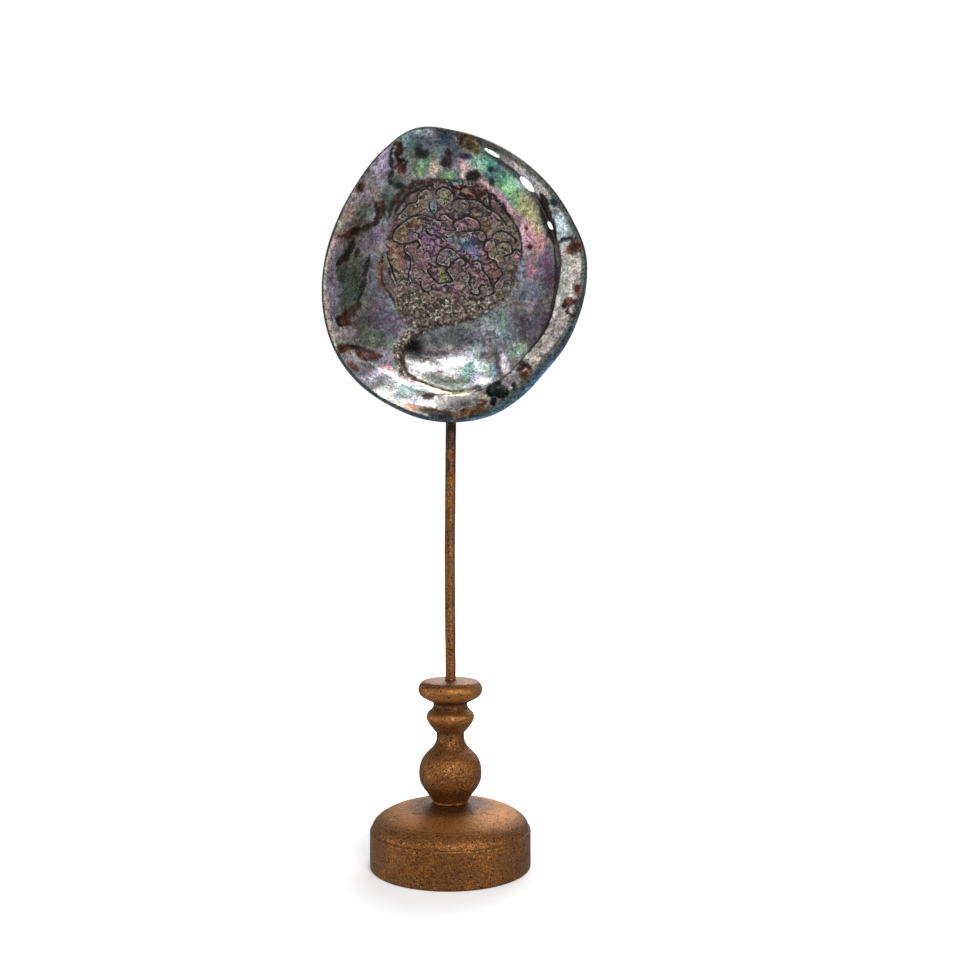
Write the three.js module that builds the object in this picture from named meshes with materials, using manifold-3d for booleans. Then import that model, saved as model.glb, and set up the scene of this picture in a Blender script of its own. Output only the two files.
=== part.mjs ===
// A polished abalone shell held upright on a turned wooden stand.
//
// Five pieces: a domed base, a turned spindle whose tenon sits in the base, a slim metal rod
// that rises from the spindle, the shell with its hollow facing -Y, and the pad of epoxy that
// bonds the rod's end to the shell's outer wall.
//
// Millimetres, +Z up. The origin is the centre of the base's flat underside.

import * as THREE from "three";
import { ParametricGeometry } from "three/addons/geometries/ParametricGeometry.js";
import { mergeVertices } from "three/addons/utils/BufferGeometryUtils.js";
import Module from "manifold-3d";

const wasm = await Module();
wasm.setup();

// ---- Driving dimensions ----------------------------------------------------------------

const GAP = 0.3; // air kept between two pieces that touch

const BASE = {
  radius: 38.3,
  wallTop: 18.3, // height of the upright wall
  step: 0.7, // the dome starts this far inside the wall
  top: 30.2,
  seatRadius: 9.2, // flat seat under the spindle
  footRound: 1.0,
  segments: 56,
};

const TENON = { radius: 4.9, length: 15 };
const COLLAR_RADIUS = 8.4; // where the spindle meets the base
const SPINDLE_SEGMENTS = 40;

const ROD = {
  radius: 2.5,
  socketDepth: 14, // how deep it sits in the spindle
  sides: 14,
  steps: 10,
};

const SHELL = {
  centreX: 3.9, // the pole of its polar outline
  centreZ: 274,
  rimY: -15, // plane of the rim
  bowlDepth: 28, // inner surface, at the pole
  bowlPower: 2.6,
  outerDepth: 31.5, // outer surface, at the pole: a quarter ellipse from the pole to the rim
  slices: 64,
};

// ---- Turned pieces ---------------------------------------------------------------------

const point = (r, z) => new THREE.Vector2(r, z);

// Turns a profile of radius against height about the Z axis.
function turned(profile, segments) {
  return new THREE.LatheGeometry(profile, segments).rotateX(Math.PI / 2);
}

// Points of the elliptical dome, from its lower edge in to the flat seat.
function domeArc(count) {
  const reach = BASE.radius - BASE.step;
  const rise = BASE.top - BASE.wallTop;
  const end = Math.acos(BASE.seatRadius / reach);
  const scale = rise / Math.sin(end);
  return Array.from({ length: count + 1 }, (_, i) => {
    const a = (end * i) / count;
    return point(reach * Math.cos(a), BASE.wallTop + scale * Math.sin(a));
  });
}

function baseGeometry() {
  const boreRadius = TENON.radius + GAP;
  const boreFloor = BASE.top - TENON.length - GAP;
  return turned(
    [
      point(0, 0),
      point(BASE.radius - BASE.footRound, 0),
      point(BASE.radius - BASE.footRound * 0.3, BASE.footRound * 0.3),
      point(BASE.radius, BASE.footRound),
      point(BASE.radius, BASE.wallTop - 0.5),
      point(BASE.radius - 0.3, BASE.wallTop),
      ...domeArc(7),
      point(boreRadius, BASE.top),
      point(boreRadius, boreFloor),
      point(0, boreFloor),
    ],
    BASE.segments,
  );
}

// The spindle's outline above its collar: bulb, neck, bead, cove and top disc.
const SPINDLE_OUTLINE = [
  [8.5, 31.6],
  [9.2, 32.4],
  [10.9, 35.0],
  [12.9, 37.6],
  [14.4, 40.6],
  [14.9, 44.2],
  [14.5, 48.0],
  [13.2, 51.4],
  [10.9, 54.2],
  [8.6, 56.4],
  [7.1, 58.8],
  [6.6, 60.6],
  [6.6, 63.6],
  [7.3, 64.2],
  [9.2, 66.6],
  [10.9, 69.2],
  [11.3, 71.2],
  [10.6, 73.0],
  [8.8, 74.8],
  [8.0, 76.4],
  [8.6, 78.0],
  [11.0, 79.2],
  [14.0, 81.0],
  [15.2, 83.4],
  [15.0, 85.4],
  [13.6, 87.4],
  [11.8, 88.2],
];
const SPINDLE_TOP = SPINDLE_OUTLINE.at(-1)[1];

function spindleGeometry() {
  const collarFoot = BASE.top + GAP;
  const socketRadius = ROD.radius + GAP;
  return turned(
    [
      point(0, collarFoot - TENON.length),
      point(TENON.radius, collarFoot - TENON.length),
      point(TENON.radius, collarFoot),
      point(COLLAR_RADIUS, collarFoot),
      ...SPINDLE_OUTLINE.map(([r, z]) => point(r, z)),
      point(socketRadius, SPINDLE_TOP),
      point(socketRadius, SPINDLE_TOP - ROD.socketDepth),
      point(0, SPINDLE_TOP - ROD.socketDepth),
    ],
    SPINDLE_SEGMENTS,
  );
}

// ---- Rod -------------------------------------------------------------------------------

// The rod is a little bowed, as hand-set stock is. Its upper end runs on into the shell's
// wall, and is cut off there.
const ROD_FOOT = SPINDLE_TOP - ROD.socketDepth + GAP;
const ROD_LINE = new THREE.CatmullRomCurve3([
  new THREE.Vector3(0, 0, ROD_FOOT),
  new THREE.Vector3(0.1, 0, 95),
  new THREE.Vector3(-0.3, 0, 150),
  new THREE.Vector3(0.5, 0, 230),
]);

function rodSleeve(radius) {
  const section = new THREE.Shape().absarc(0, 0, radius, 0, 2 * Math.PI);
  return new THREE.ExtrudeGeometry(section, {
    extrudePath: ROD_LINE,
    steps: ROD.steps,
    curveSegments: ROD.sides,
    bevelEnabled: false,
  });
}

// ---- Shell -----------------------------------------------------------------------------

// The silhouette's radius from the pole, every 15 degrees from +X towards +Z.
const SILHOUETTE = [
  60.0, 61.7, 61.8, 63.2, 65.4, 68.4, 72.1, 76.1, 72.0, 67.2, 64.5, 63.6, 63.7, 64.5, 65.3,
  65.2, 64.5, 64.5, 63.8, 62.6, 59.8, 57.3, 57.5, 58.3,
];
// Every 30 degrees: how far the outer wall bulges past the rim, how wide the lip or shelf
// inside the rim is, how deep its inner edge lies, and how far the bowl drops off that edge.
const BULGE = [0.3, 0, 0, 0, 0, 0, 0.4, 0.4, 0.2, 0.8, 2.8, 1.6];
const SHELF_WIDTH = [13.4, 10.4, 6.8, 5.5, 9.0, 9.5, 9.5, 10.0, 12.0, 13.2, 10.2, 11.0];
const SHELF_DEPTH = [4.0, 3.5, 3.5, 7.5, 11, 11, 11, 11, 9.5, 4.8, 4.0, 4.0];
const SHELF_DROP = [9.0, 8.0, 5.0, 0, 0, 0, 0, 0, 0, 5.5, 8.0, 9.0];

// Smooth closed interpolation through values spaced evenly round a circle.
function around(values, turn) {
  const n = values.length;
  const s = (((turn % 1) + 1) % 1) * n;
  const i = Math.floor(s);
  const f = s - i;
  const [a, b, c, d] = [-1, 0, 1, 2].map((k) => values[(i + k + n) % n]);
  return b + 0.5 * f * (c - a + f * (2 * a - 5 * b + 4 * c - d + f * (3 * (b - c) + d - a)));
}

// A round-topped swelling: 1 at its centre, falling to 0 at its edge.
function swelling(u, v, { x, z, rx, rz }) {
  const d = ((u - x) / rx) ** 2 + ((v - z) / rz) ** 2;
  return d < 1 ? (1 - d) ** 2 : 0;
}

const SPIRE_POCKET = { x: -4.4, z: -29.6, rx: 27, rz: 17, depth: 4 };
const SPIRE_KNOB = { x: -9, z: -29, rx: 32, rz: 24, depth: 5 };
const MUSCLE_SCAR = { x: -2, z: 19, rx: 40, rz: 42, depth: -1.2 };

// Rings of points: across the bowl, across the shelf, and over the outside.
const BOWL_RINGS = 12;
const SHELF_RINGS = 3;
const OUTER_RINGS = 14;
const EDGE_WIDTH = 1.6; // rounded edge between the shelf and the silhouette
const EDGE_DEPTH = 0.3; // how far behind the rim's plane the edge's middle lies
const CREASE_SLOPE = 0.8; // width of the drop from the shelf into the bowl
const FIRST_SHARE = 0.045; // where the outside starts, as a share of its quarter ellipse

function innerPoint(turn, ring) {
  const rim = around(SILHOUETTE, turn) - around(BULGE, turn) - EDGE_WIDTH;
  const crease = rim + EDGE_WIDTH - around(SHELF_WIDTH, turn);
  const edgeDepth = around(SHELF_DEPTH, turn);
  if (ring > BOWL_RINGS) {
    const s = (ring - BOWL_RINGS - 1) / (SHELF_RINGS - 1);
    const start = crease + CREASE_SLOPE;
    return [start + (rim - start) * s, edgeDepth * (1 - s)];
  }
  const foot = edgeDepth + Math.max(0, around(SHELF_DROP, turn));
  const t = ring / BOWL_RINGS;
  return [crease * t, foot + (SHELL.bowlDepth - foot) * (1 - t ** SHELL.bowlPower)];
}

function outerPoint(turn, share, grow) {
  const reach = around(SILHOUETTE, turn) + grow;
  const a = (share * Math.PI) / 2;
  return [reach * Math.cos(a), (SHELL.outerDepth + grow) * Math.sin(a)];
}

// Sets target to the point at a radius and depth along one direction from the pole.
function place(target, turn, radius, depth, features) {
  const u = radius * Math.cos(2 * Math.PI * turn);
  const v = radius * Math.sin(2 * Math.PI * turn);
  const extra = features.reduce((sum, f) => sum + f.depth * swelling(u, v, f), 0);
  target.set(SHELL.centreX + u, SHELL.rimY + depth + extra, SHELL.centreZ + v);
}

// The shell as one closed surface: pole, bowl, shelf, rim, then back over the outside.
function shellGeometry() {
  const inner = BOWL_RINGS + SHELF_RINGS;
  const rings = inner + 2 + OUTER_RINGS;
  return new ParametricGeometry(
    (lap, v, target) => {
      const turn = 1 - lap; // this way round, the faces point outwards
      const ring = Math.round(v * rings);
      if (ring <= inner) {
        const [r, w] = innerPoint(turn, ring);
        place(target, turn, r, w, [SPIRE_POCKET, MUSCLE_SCAR]);
      } else if (ring === inner + 1) {
        const rim = around(SILHOUETTE, turn) - around(BULGE, turn) - EDGE_WIDTH / 8;
        place(target, turn, rim, EDGE_DEPTH, []);
      } else {
        const share = THREE.MathUtils.lerp(FIRST_SHARE, 1, (ring - inner - 2) / OUTER_RINGS);
        const [r, w] = outerPoint(turn, share, 0);
        place(target, turn, r, w, [SPIRE_KNOB]);
      }
    },
    SHELL.slices,
    rings,
  );
}

// The space inside the outer surface, grown by the gap: what the rod and pad must clear.
function shellEnvelope() {
  const rings = OUTER_RINGS + 1;
  return new ParametricGeometry(
    (lap, v, target) => {
      const turn = 1 - lap;
      const ring = Math.round(v * rings);
      const share = ring === 0 ? 0 : (ring - 1) / OUTER_RINGS;
      const [r, w] = outerPoint(turn, share, GAP);
      place(target, turn, ring === 0 ? 0 : r, w, ring === 0 ? [] : [SPIRE_KNOB]);
    },
    SHELL.slices,
    rings,
  );
}

// The open breathing pores: slots through the wall, along the shelf's inner edge. They rise
// towards the back, as the wall they pierce faces up and out.
const PORE_RISE = 12; // degrees
const PORE_DEPTH = 10; // where the stated centres lie, behind the rim's plane
const PORE_CUT = 60; // length of the cutter
const PORES = [
  { x: 15.9, z: 63.6, long: 4.6, wide: 1.2, lean: -30 },
  { x: 32.3, z: 49.0, long: 5.3, wide: 1.8, lean: -47 },
  { x: 43.3, z: 29.6, long: 2.8, wide: 1.1, lean: -64 },
];

function poreCutter({ x, z, long, wide, lean }) {
  return new THREE.CylinderGeometry(1, 1, PORE_CUT, 16)
    .scale(long, 1, wide)
    .rotateY(THREE.MathUtils.degToRad(-lean))
    .rotateX(THREE.MathUtils.degToRad(PORE_RISE))
    .translate(SHELL.centreX + x, SHELL.rimY + PORE_DEPTH, SHELL.centreZ + z);
}

// ---- Epoxy pad -------------------------------------------------------------------------

// A thick lens of epoxy lying along the sloping wall, with the rod's end buried in it.
const PAD = { x: 0.4, y: 1.2, z: 218.6, width: 9, length: 9.4, thickness: 4.8, slope: 45 };

function padBlank() {
  return new THREE.SphereGeometry(1, 22, 12)
    .rotateX(Math.PI / 2)
    .scale(PAD.width, PAD.length, PAD.thickness)
    .rotateX(THREE.MathUtils.degToRad(PAD.slope))
    .translate(PAD.x, PAD.y, PAD.z);
}

// ---- Solids ----------------------------------------------------------------------------

function toSolid(geometry) {
  const bare = geometry.clone();
  bare.deleteAttribute("normal");
  bare.deleteAttribute("uv");
  const merged = mergeVertices(bare, 1e-4);
  return new wasm.Manifold(
    new wasm.Mesh({
      numProp: 3,
      vertProperties: new Float32Array(merged.attributes.position.array),
      triVerts: new Uint32Array(merged.index.array),
    }),
  );
}

function toGeometry(solid) {
  const mesh = solid.getMesh();
  const geometry = new THREE.BufferGeometry()
    .setAttribute("position", new THREE.BufferAttribute(mesh.vertProperties, 3))
    .setIndex(new THREE.BufferAttribute(mesh.triVerts, 1));
  geometry.computeVertexNormals();
  return geometry;
}

const envelope = toSolid(shellEnvelope());
const shellSolid = PORES.reduce(
  (solid, pore) => solid.subtract(toSolid(poreCutter(pore))),
  toSolid(shellGeometry()),
);
const rodSolid = toSolid(rodSleeve(ROD.radius)).subtract(envelope);
const padSolid = toSolid(padBlank())
  .subtract(envelope)
  .subtract(toSolid(rodSleeve(ROD.radius + GAP)));

// ---- The assembly ----------------------------------------------------------------------

const giltWood = { color: 0x7a4f24, roughness: 0.5, metalness: 0.5 };
const giltMetal = { color: 0x6e4622, roughness: 0.45, metalness: 0.7 };
const nacre = { color: 0x9a9aa6, roughness: 0.25, metalness: 0.3 };
const epoxy = { color: 0x3b2a1c, roughness: 0.6, metalness: 0.1 };

function piece(name, geometry, finish) {
  const mesh = new THREE.Mesh(geometry, new THREE.MeshStandardMaterial(finish));
  mesh.name = name;
  return mesh;
}

const stand = new THREE.Group();
stand.add(piece("base", baseGeometry(), giltWood));
stand.add(piece("spindle", spindleGeometry(), giltWood));
stand.add(piece("rod", toGeometry(rodSolid), giltMetal));

const display = new THREE.Group();
display.add(stand);
display.add(piece("epoxy_pad", toGeometry(padSolid), epoxy));
display.add(piece("shell", toGeometry(shellSolid), nacre));

export default display;
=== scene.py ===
# %% [markdown]
# # A polished abalone shell on a turned stand
# The object is an abalone shell, ground and polished down to its nacre, that stands upright on a slim metal
# rod. The rod rises from a turned spindle on a domed base, and both are painted a worn bronze-gold. This
# lesson makes the fine surface of each piece around a packed construction model, which gives the sizes and
# places. Lengths are typed in millimetres here and turned into Blender's metres at the last moment.

# %% Load the construction model
import math

import bmesh
import bpy
import numpy as np
from mathutils import Matrix, Vector


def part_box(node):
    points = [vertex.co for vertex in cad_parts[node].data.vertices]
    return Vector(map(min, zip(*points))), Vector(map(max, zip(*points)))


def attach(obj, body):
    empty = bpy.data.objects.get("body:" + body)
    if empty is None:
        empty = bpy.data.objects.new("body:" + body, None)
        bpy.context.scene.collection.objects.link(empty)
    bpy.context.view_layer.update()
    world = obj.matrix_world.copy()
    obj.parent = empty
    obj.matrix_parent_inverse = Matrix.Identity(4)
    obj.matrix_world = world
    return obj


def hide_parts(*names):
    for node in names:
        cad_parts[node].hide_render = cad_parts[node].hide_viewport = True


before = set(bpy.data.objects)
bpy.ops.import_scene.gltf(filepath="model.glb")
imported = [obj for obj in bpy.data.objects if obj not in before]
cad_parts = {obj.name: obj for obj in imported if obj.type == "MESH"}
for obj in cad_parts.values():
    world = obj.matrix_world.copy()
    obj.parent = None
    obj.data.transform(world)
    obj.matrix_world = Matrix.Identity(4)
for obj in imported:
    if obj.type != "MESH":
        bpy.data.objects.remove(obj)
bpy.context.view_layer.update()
MM = 0.001
print("nodes:", sorted(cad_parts))

# %% [markdown]
# ## The camera
# The camera looks level, straight at the hollow of the shell, from a little over half a metre. A normal
# lens on a full frame suits that distance. The camera comes first, because every later choice of detail
# depends on how near it stands.

# %% Place the camera
LENS = 45.75
CAMERA_PLACE = (14.1, -581.0, 183.5)

camera = bpy.data.objects.new("camera", bpy.data.cameras.new("camera"))
camera.data.lens = LENS
camera.data.sensor_width = 36
camera.location = Vector(CAMERA_PLACE) * MM
camera.rotation_euler = (math.radians(90), 0, 0)
bpy.context.scene.collection.objects.link(camera)
bpy.context.scene.camera = camera
print("camera at", tuple(round(c, 3) for c in camera.location))

# %% [markdown]
# ## Random patterns that never change
# Nature is uneven, so the shell needs soft random patches in its shape and in its colour. Blender's noise
# nodes only work inside a material. To use one pattern for both, this cell writes value noise with numpy:
# a steady random number at each corner of a grid, and a smooth blend in between. The same seed always
# gives the same shell. In a call of clouds, the first number after the place is the size of the patches in
# millimetres and the next is the seed, which only has to differ from the other seeds.

# %% Noise, smooth steps and soft spots
def corner_value(i, j, seed):
    """A steady random number from -1 to 1 for each corner of a square grid."""
    n = (i * 374761393 + j * 668265263 + seed * 1274126177) & 0xFFFFFFFF
    n = ((n ^ (n >> 13)) * 1103515245) & 0xFFFFFFFF
    n = ((n ^ (n >> 15)) * 69069) & 0xFFFFFFFF
    return (n ^ (n >> 16)) / 0x7FFFFFFF - 1.0


def single_noise(x, y, seed):
    i, j = np.floor(x).astype(np.int64), np.floor(y).astype(np.int64)
    fx, fy = x - i, y - j
    fx, fy = fx * fx * (3 - 2 * fx), fy * fy * (3 - 2 * fy)
    low = corner_value(i, j, seed) * (1 - fx) + corner_value(i + 1, j, seed) * fx
    high = corner_value(i, j + 1, seed) * (1 - fx) + corner_value(i + 1, j + 1, seed) * fx
    return low * (1 - fy) + high * fy


def clouds(u, v, size, seed, octaves=3):
    """Soft random patches about size mm across, from -1 to 1."""
    total, weight, reach = 0.0, 1.0, 0.0
    x, y = u / size, v / size
    for octave in range(octaves):
        total = total + weight * single_noise(x, y, seed * 17 + octave)
        reach += weight
        weight *= 0.55
        x, y = 1.6 * x - 1.2 * y + 3.7, 1.2 * x + 1.6 * y + 9.1
    return total / reach


def ease(low, high, value):
    """0 below low, 1 above high, and a smooth climb between."""
    t = np.clip((value - low) / (high - low), 0, 1)
    return t * t * (3 - 2 * t)


def bell(distance, width):
    """1 at no distance, fading to nothing over about twice the width."""
    return np.exp(-((distance / width) ** 2))


def spot(u, v, x, z, rx, rz, lean=0.0):
    """Distance from a leaning ellipse's centre: 1 on its outline."""
    c, s = math.cos(math.radians(lean)), math.sin(math.radians(lean))
    du, dv = u - x, v - z
    return np.hypot((du * c + dv * s) / rx, (dv * c - du * s) / rz)


def smooth_path(points, steps=6):
    """A smooth curve through given points, as a finer chain of points."""
    ends = [points[0], *points, points[-1]]
    chain = []
    for a, b, c, d in zip(ends, ends[1:], ends[2:], ends[3:]):
        for k in range(steps):
            f = k / steps
            chain.append(
                tuple(
                    q + 0.5 * f * (r - p + f * (2 * p - 5 * q + 4 * r - s + f * (3 * (q - r) + s - p)))
                    for p, q, r, s in zip(a, b, c, d)
                )
            )
    return [*chain, points[-1]]


def from_path(points, u, v):
    """Distance from a chain of points, with + on its left, and the share of the way along it."""
    near = np.full(u.shape, 1e9)
    side, share = np.ones(u.shape), np.zeros(u.shape)
    stretches = list(zip(points, points[1:]))
    for k, ((x0, z0), (x1, z1)) in enumerate(stretches):
        dx, dz = x1 - x0, z1 - z0
        along = np.clip(((u - x0) * dx + (v - z0) * dz) / (dx * dx + dz * dz), 0, 1)
        px, pz = u - x0 - along * dx, v - z0 - along * dz
        distance = np.hypot(px, pz)
        closer = distance < near
        near = np.where(closer, distance, near)
        side = np.where(closer, np.sign(dx * pz - dz * px), side)
        share = np.where(closer, (k + along) / len(stretches), share)
    return near * side, share


def fade_ends(share, length):
    """1 along a line, and 0 at both of its ends."""
    return ease(0, length, share) * ease(0, length, 1 - share)


# %% [markdown]
# ## The shell's main form
# An abalone shell is an ear-shaped dish. Seen from its hollow side it has a broad pale shelf on the right,
# which ends in a sharp inner edge, and a bowl that drops away under that edge. On the left the wall slopes
# in with no edge at all. All of this can be said in polar terms, as seen from the middle of the bowl: for
# each direction, how far out the outline is, how wide the shelf is and how deep it lies. The values below
# run from the right (+X) upwards, and a smooth curve joins them.

# %% Driving sizes of the shell
POLE_X, POLE_Z = 3.9, 274.0
RIM_Y = -15.0
BOWL_DEPTH, BOWL_POWER = 28.0, 2.6
OUTER_DEPTH = 31.5
EDGE_WIDTH = 1.6

SILHOUETTE = [
    60.0, 61.7, 61.8, 63.2, 65.4, 68.4, 72.1, 76.1, 72.0, 67.2, 64.5, 63.6,
    63.7, 64.5, 65.3, 65.2, 64.5, 64.5, 63.8, 62.6, 59.8, 57.3, 57.5, 58.3,
]
BULGE = [0.3, 0, 0, 0, 0, 0, 0.4, 0.4, 0.2, 0.8, 2.8, 1.6]
SHELF_WIDTH = [13.4, 10.4, 6.8, 5.5, 9.0, 9.5, 9.5, 10.0, 12.0, 13.2, 10.2, 11.0]
SHELF_DEPTH = [4.0, 3.5, 3.5, 7.5, 11, 11, 11, 11, 9.5, 4.8, 4.0, 4.0]
SHELF_DROP = [9.0, 8.0, 5.0, 0, 0, 0, 0, 0, 0, 5.5, 8.0, 9.0]
UNDERCUT = 1.5

POCKET = dict(x=-4.4, z=-29.6, rx=27, rz=17)
POCKET_DEPTH = 4.0
KNOB = dict(x=-9, z=-29, rx=32, rz=24)
KNOB_DEPTH = 5.0
SCAR = dict(x=-2, z=19, rx=40, rz=42)
SCAR_RISE = 1.2


def around(values, turn):
    """Smooth closed interpolation through values spaced evenly round a circle."""
    values = np.asarray(values, float)
    s = (turn % 1.0) * len(values)
    i = np.floor(s).astype(int)
    f = s - i
    a, b, c, d = (values[(i + k) % len(values)] for k in (-1, 0, 1, 2))
    return b + 0.5 * f * (c - a + f * (2 * a - 5 * b + 4 * c - d + f * (3 * (b - c) + d - a)))


def swelling(u, v, x, z, rx, rz):
    d = spot(u, v, x, z, rx, rz) ** 2
    return np.where(d < 1, (1 - np.minimum(d, 1)) ** 2, 0)


def shelf_lines(turn):
    """Rim radius, crease radius, crease depth and drop behind the crease, for a direction."""
    rim = around(SILHOUETTE, turn) - around(BULGE, turn) - EDGE_WIDTH
    crease = rim + EDGE_WIDTH - around(SHELF_WIDTH, turn)
    drop = np.maximum(0, around(SHELF_DROP, turn))
    return rim, crease, around(SHELF_DEPTH, turn), drop


print("widest radius", max(SILHOUETTE), "mm")

# %% [markdown]
# ## The hollow's relief
# The muscle that held the living animal left a rough round scar, built of lobed plates like lichen. Below
# and left of it the bowl falls over a curved step into the spire, the oldest part of the shell. The left
# wall has folds, and small pits mark pores that the animal closed. Each of these is a function of the
# place on the dish, so the same functions can push the surface and later colour it.
#
# Most of the scar is a few broad plates, parted by thin scalloped cracks with a raised lip on their right.
# Each crack is a short list of points. Between them lie zones of small scales, each a cluster
# of discs with one shared outline, laid as shingles are, so a lower scale hides the foot of the one above.

# %% Cracks of the scar
CRACKS = [
    [(-31.8, 25), (-31.3, 28), (-29.3, 31.2), (-26, 34), (-22, 36.3), (-18, 37.2), (-14, 36.6), (-10.5, 35),
     (-7, 35.3)],
    [(-8, 31.2), (-5.2, 30.4), (-2.2, 30), (-1.6, 31.2), (-3.2, 32.6), (-1.6, 34.6), (1, 35.6), (3.8, 36.9),
     (6.5, 36.2), (9, 34.6), (10.2, 32.6), (10.4, 30.4)],
    [(0.5, 30), (3.5, 29.8), (7, 30), (10.4, 30.2), (12.6, 28.6), (13.4, 26.9), (12.6, 25.2), (10.6, 24.7),
     (9.2, 25.9)],
    [(-20.3, 21.4), (-18.9, 22.8), (-19.2, 24.2), (-20.6, 25.2), (-23, 24.3), (-25.8, 23.6), (-28.2, 23.3),
     (-31.8, 25)],
    [(-23.3, 3.6), (-24.5, 7.6), (-23.7, 12), (-23.5, 15.4), (-24.2, 17.6), (-25.8, 19), (-26.6, 21.2),
     (-25.8, 23.4)],
    [(-7.4, 24.8), (-8.6, 26.2), (-10.8, 27.6), (-13.2, 28.2), (-15.4, 29.4), (-15.9, 31.6)],
    [(-24.2, 30.6), (-22.2, 29.2), (-19.8, 28.6), (-19.6, 26.8), (-18.2, 25.8)],
    [(-2, 15), (-4.2, 14.4), (-5, 12.8), (-7.6, 13.6), (-10.2, 14.1), (-10.8, 16), (-10.6, 18.2),
     (-9.4, 19.8), (-8.4, 21.3), (-6, 22.1), (-3.2, 21.5), (-1.2, 19.8)],
    [(-15.4, 12.6), (-14.8, 10.2), (-13.4, 8), (-11.4, 6.2), (-9.8, 5.2), (-7.6, 5.4), (-4.6, 5.7), (-3, 6.4),
     (-4.2, 7.8), (-5, 9.6), (-6.6, 11.2), (-5, 12.8)],
    [(-11.6, 4.6), (-13.2, 3.6), (-13.2, 1.9), (-14.8, 0.9), (-17, 1.4), (-18.4, 3.4), (-18.4, 6.4)],
    [(-4.6, 14.6), (-1.8, 16.4), (1.2, 17.2), (3.4, 15.8), (2.6, 13.8), (0.8, 13)],
    [(6.4, 14.6), (7.9, 16.1), (10, 15.4), (11.2, 13.4), (11.2, 11), (13, 9.6), (14.6, 7.8), (15.4, 5.4),
     (16.4, 3.2), (16.8, 0.8), (14.8, -0.8), (12.4, -1.6), (10.6, -2.4)],
    [(13, 3.8), (11, 4.2), (9.6, 3), (10.2, 1), (9.6, -0.6), (6.8, -0.2), (5.4, 1.6)],
    [(21.4, 9.4), (20.4, 10.8), (18.8, 13), (18, 15.2), (16, 16.4), (14, 17.6), (13.6, 19.6), (12.2, 21),
     (12.2, 23), (13.6, 25), (15.6, 26.6), (17.4, 28.8), (20, 29.7), (22.8, 28.8), (25.4, 27.2), (27.2, 25),
     (26.8, 23.2)],
    [(16.6, 1.4), (17, 3.6), (18, 5.6), (19.6, 7.4), (21.4, 9.4)],
    [(19.2, 24.2), (22.2, 24.6), (24.6, 23), (25.8, 20.8), (25.4, 18.8), (23, 18), (21.4, 17)],
    [(25.8, 19.6), (28, 20.2), (29.8, 19)],
    [(-3.6, 42), (-2.2, 44.2), (1, 44.8), (5, 44.2), (9.2, 43.6), (12, 41.4), (15, 39.4), (18.6, 37),
     (21.2, 34.4), (23, 31.6)],
    [(14.2, 47.4), (14.4, 44.6), (15, 42), (15.4, 39.6)],
    [(-11.2, 46.4), (-10.4, 48.6), (-7.8, 49.8), (-4.8, 49.4), (-2.8, 47.2), (-2.4, 44.6), (-3.4, 42.2)],
    [(-30.6, 33.6), (-28.6, 36.6), (-26, 39.8), (-23.6, 42.2), (-20.2, 43.2), (-19.6, 45.6), (-17.6, 48),
     (-15.2, 49.2), (-13, 48)],
    [(-10.2, 42), (-10.4, 39.4), (-11.8, 38), (-14, 40), (-14.4, 42.6)],
    [(-10.5, 35), (-9.2, 37), (-6.4, 38), (-3.8, 35.6), (-1.6, 34.6)],
    [(-35.8, 20), (-34, 16.4), (-32.4, 12), (-31, 8), (-29.8, 4), (-28, 1)],
    [(4.4, 10.6), (5.6, 7.6), (4.6, 5.2), (6.2, 3)],
]
FAR = 9.0  # distance told where no crack or scale is near
SCAR_REACH = 38  # half the side of the square that holds the scar
cracks = [smooth_path(points, 4) for points in CRACKS]


def near_scar(u, v):
    """Which points lie near the scar, so that the slow searches skip the rest."""
    return np.nonzero((np.abs(u + 3) < SCAR_REACH) & (np.abs(v - 20) < SCAR_REACH))[0]


def crack_map(u, v):
    """Distance to the nearest crack, first with + on the crack's left, then without a sign."""
    side, near = np.full(u.shape, FAR), np.full(u.shape, FAR)
    here = near_scar(u, v)
    x, z = u[here], v[here]
    bent_x = x + 0.45 * clouds(x, z, 2.0, 35, 2)
    bent_z = z + 0.45 * clouds(x, z, 2.0, 36, 2)
    for line in cracks:
        across, share = from_path(line, bent_x, bent_z)
        apart = np.abs(across) + ease(0.05, 0, share) + ease(0.05, 0, 1 - share)
        closer = apart < near[here]
        near[here] = np.where(closer, apart, near[here])
        side[here] = np.where(closer, across, side[here])
    return side, near


print(len(cracks), "cracks")

# %% Small scales of the scar
SCALE_COUNT, MOST_TRIES = 120, 20000
SCALE_SPACING = 2.7
SCAR_OUTLINE = dict(x=-2.6, z=19.3, rx=32.6, rz=33.8)
SCAR_LOBE = dict(x=-17.5, z=-3.5, rx=13.5, rz=14.5)
# x, z, half width, half height and lean of each zone of scales
SCALY = [(-21, 41, 10, 6, 35), (22, 26, 6, 11, 25), (-21, -1, 9, 5, 0), (8, 2, 9, 5, 0), (-29, 14, 3, 12, 0)]

rng = np.random.default_rng(11)


def grow_scale(x, z):
    """One scale: its place in the laying order, its tone and its discs."""
    size = rng.uniform(0.5, 0.95)
    discs = [(x, z, size * rng.uniform(2.4, 3.4))]
    for _ in range(rng.integers(2, 6)):
        angle, out = math.radians(rng.uniform(-20, 200)), size * rng.uniform(1.6, 3.0)
        discs.append((x + out * math.cos(angle), z + out * math.sin(angle), size * rng.uniform(1.0, 2.0)))
    return -z + rng.uniform(-3, 3), rng.random(), discs


def scaly_mask(u, v):
    zones = [ease(1.15, 0.8, spot(u, v, *zone) + 0.2 * clouds(u, v, 4, 37, 2)) for zone in SCALY]
    return np.maximum.reduce(zones)


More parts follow.
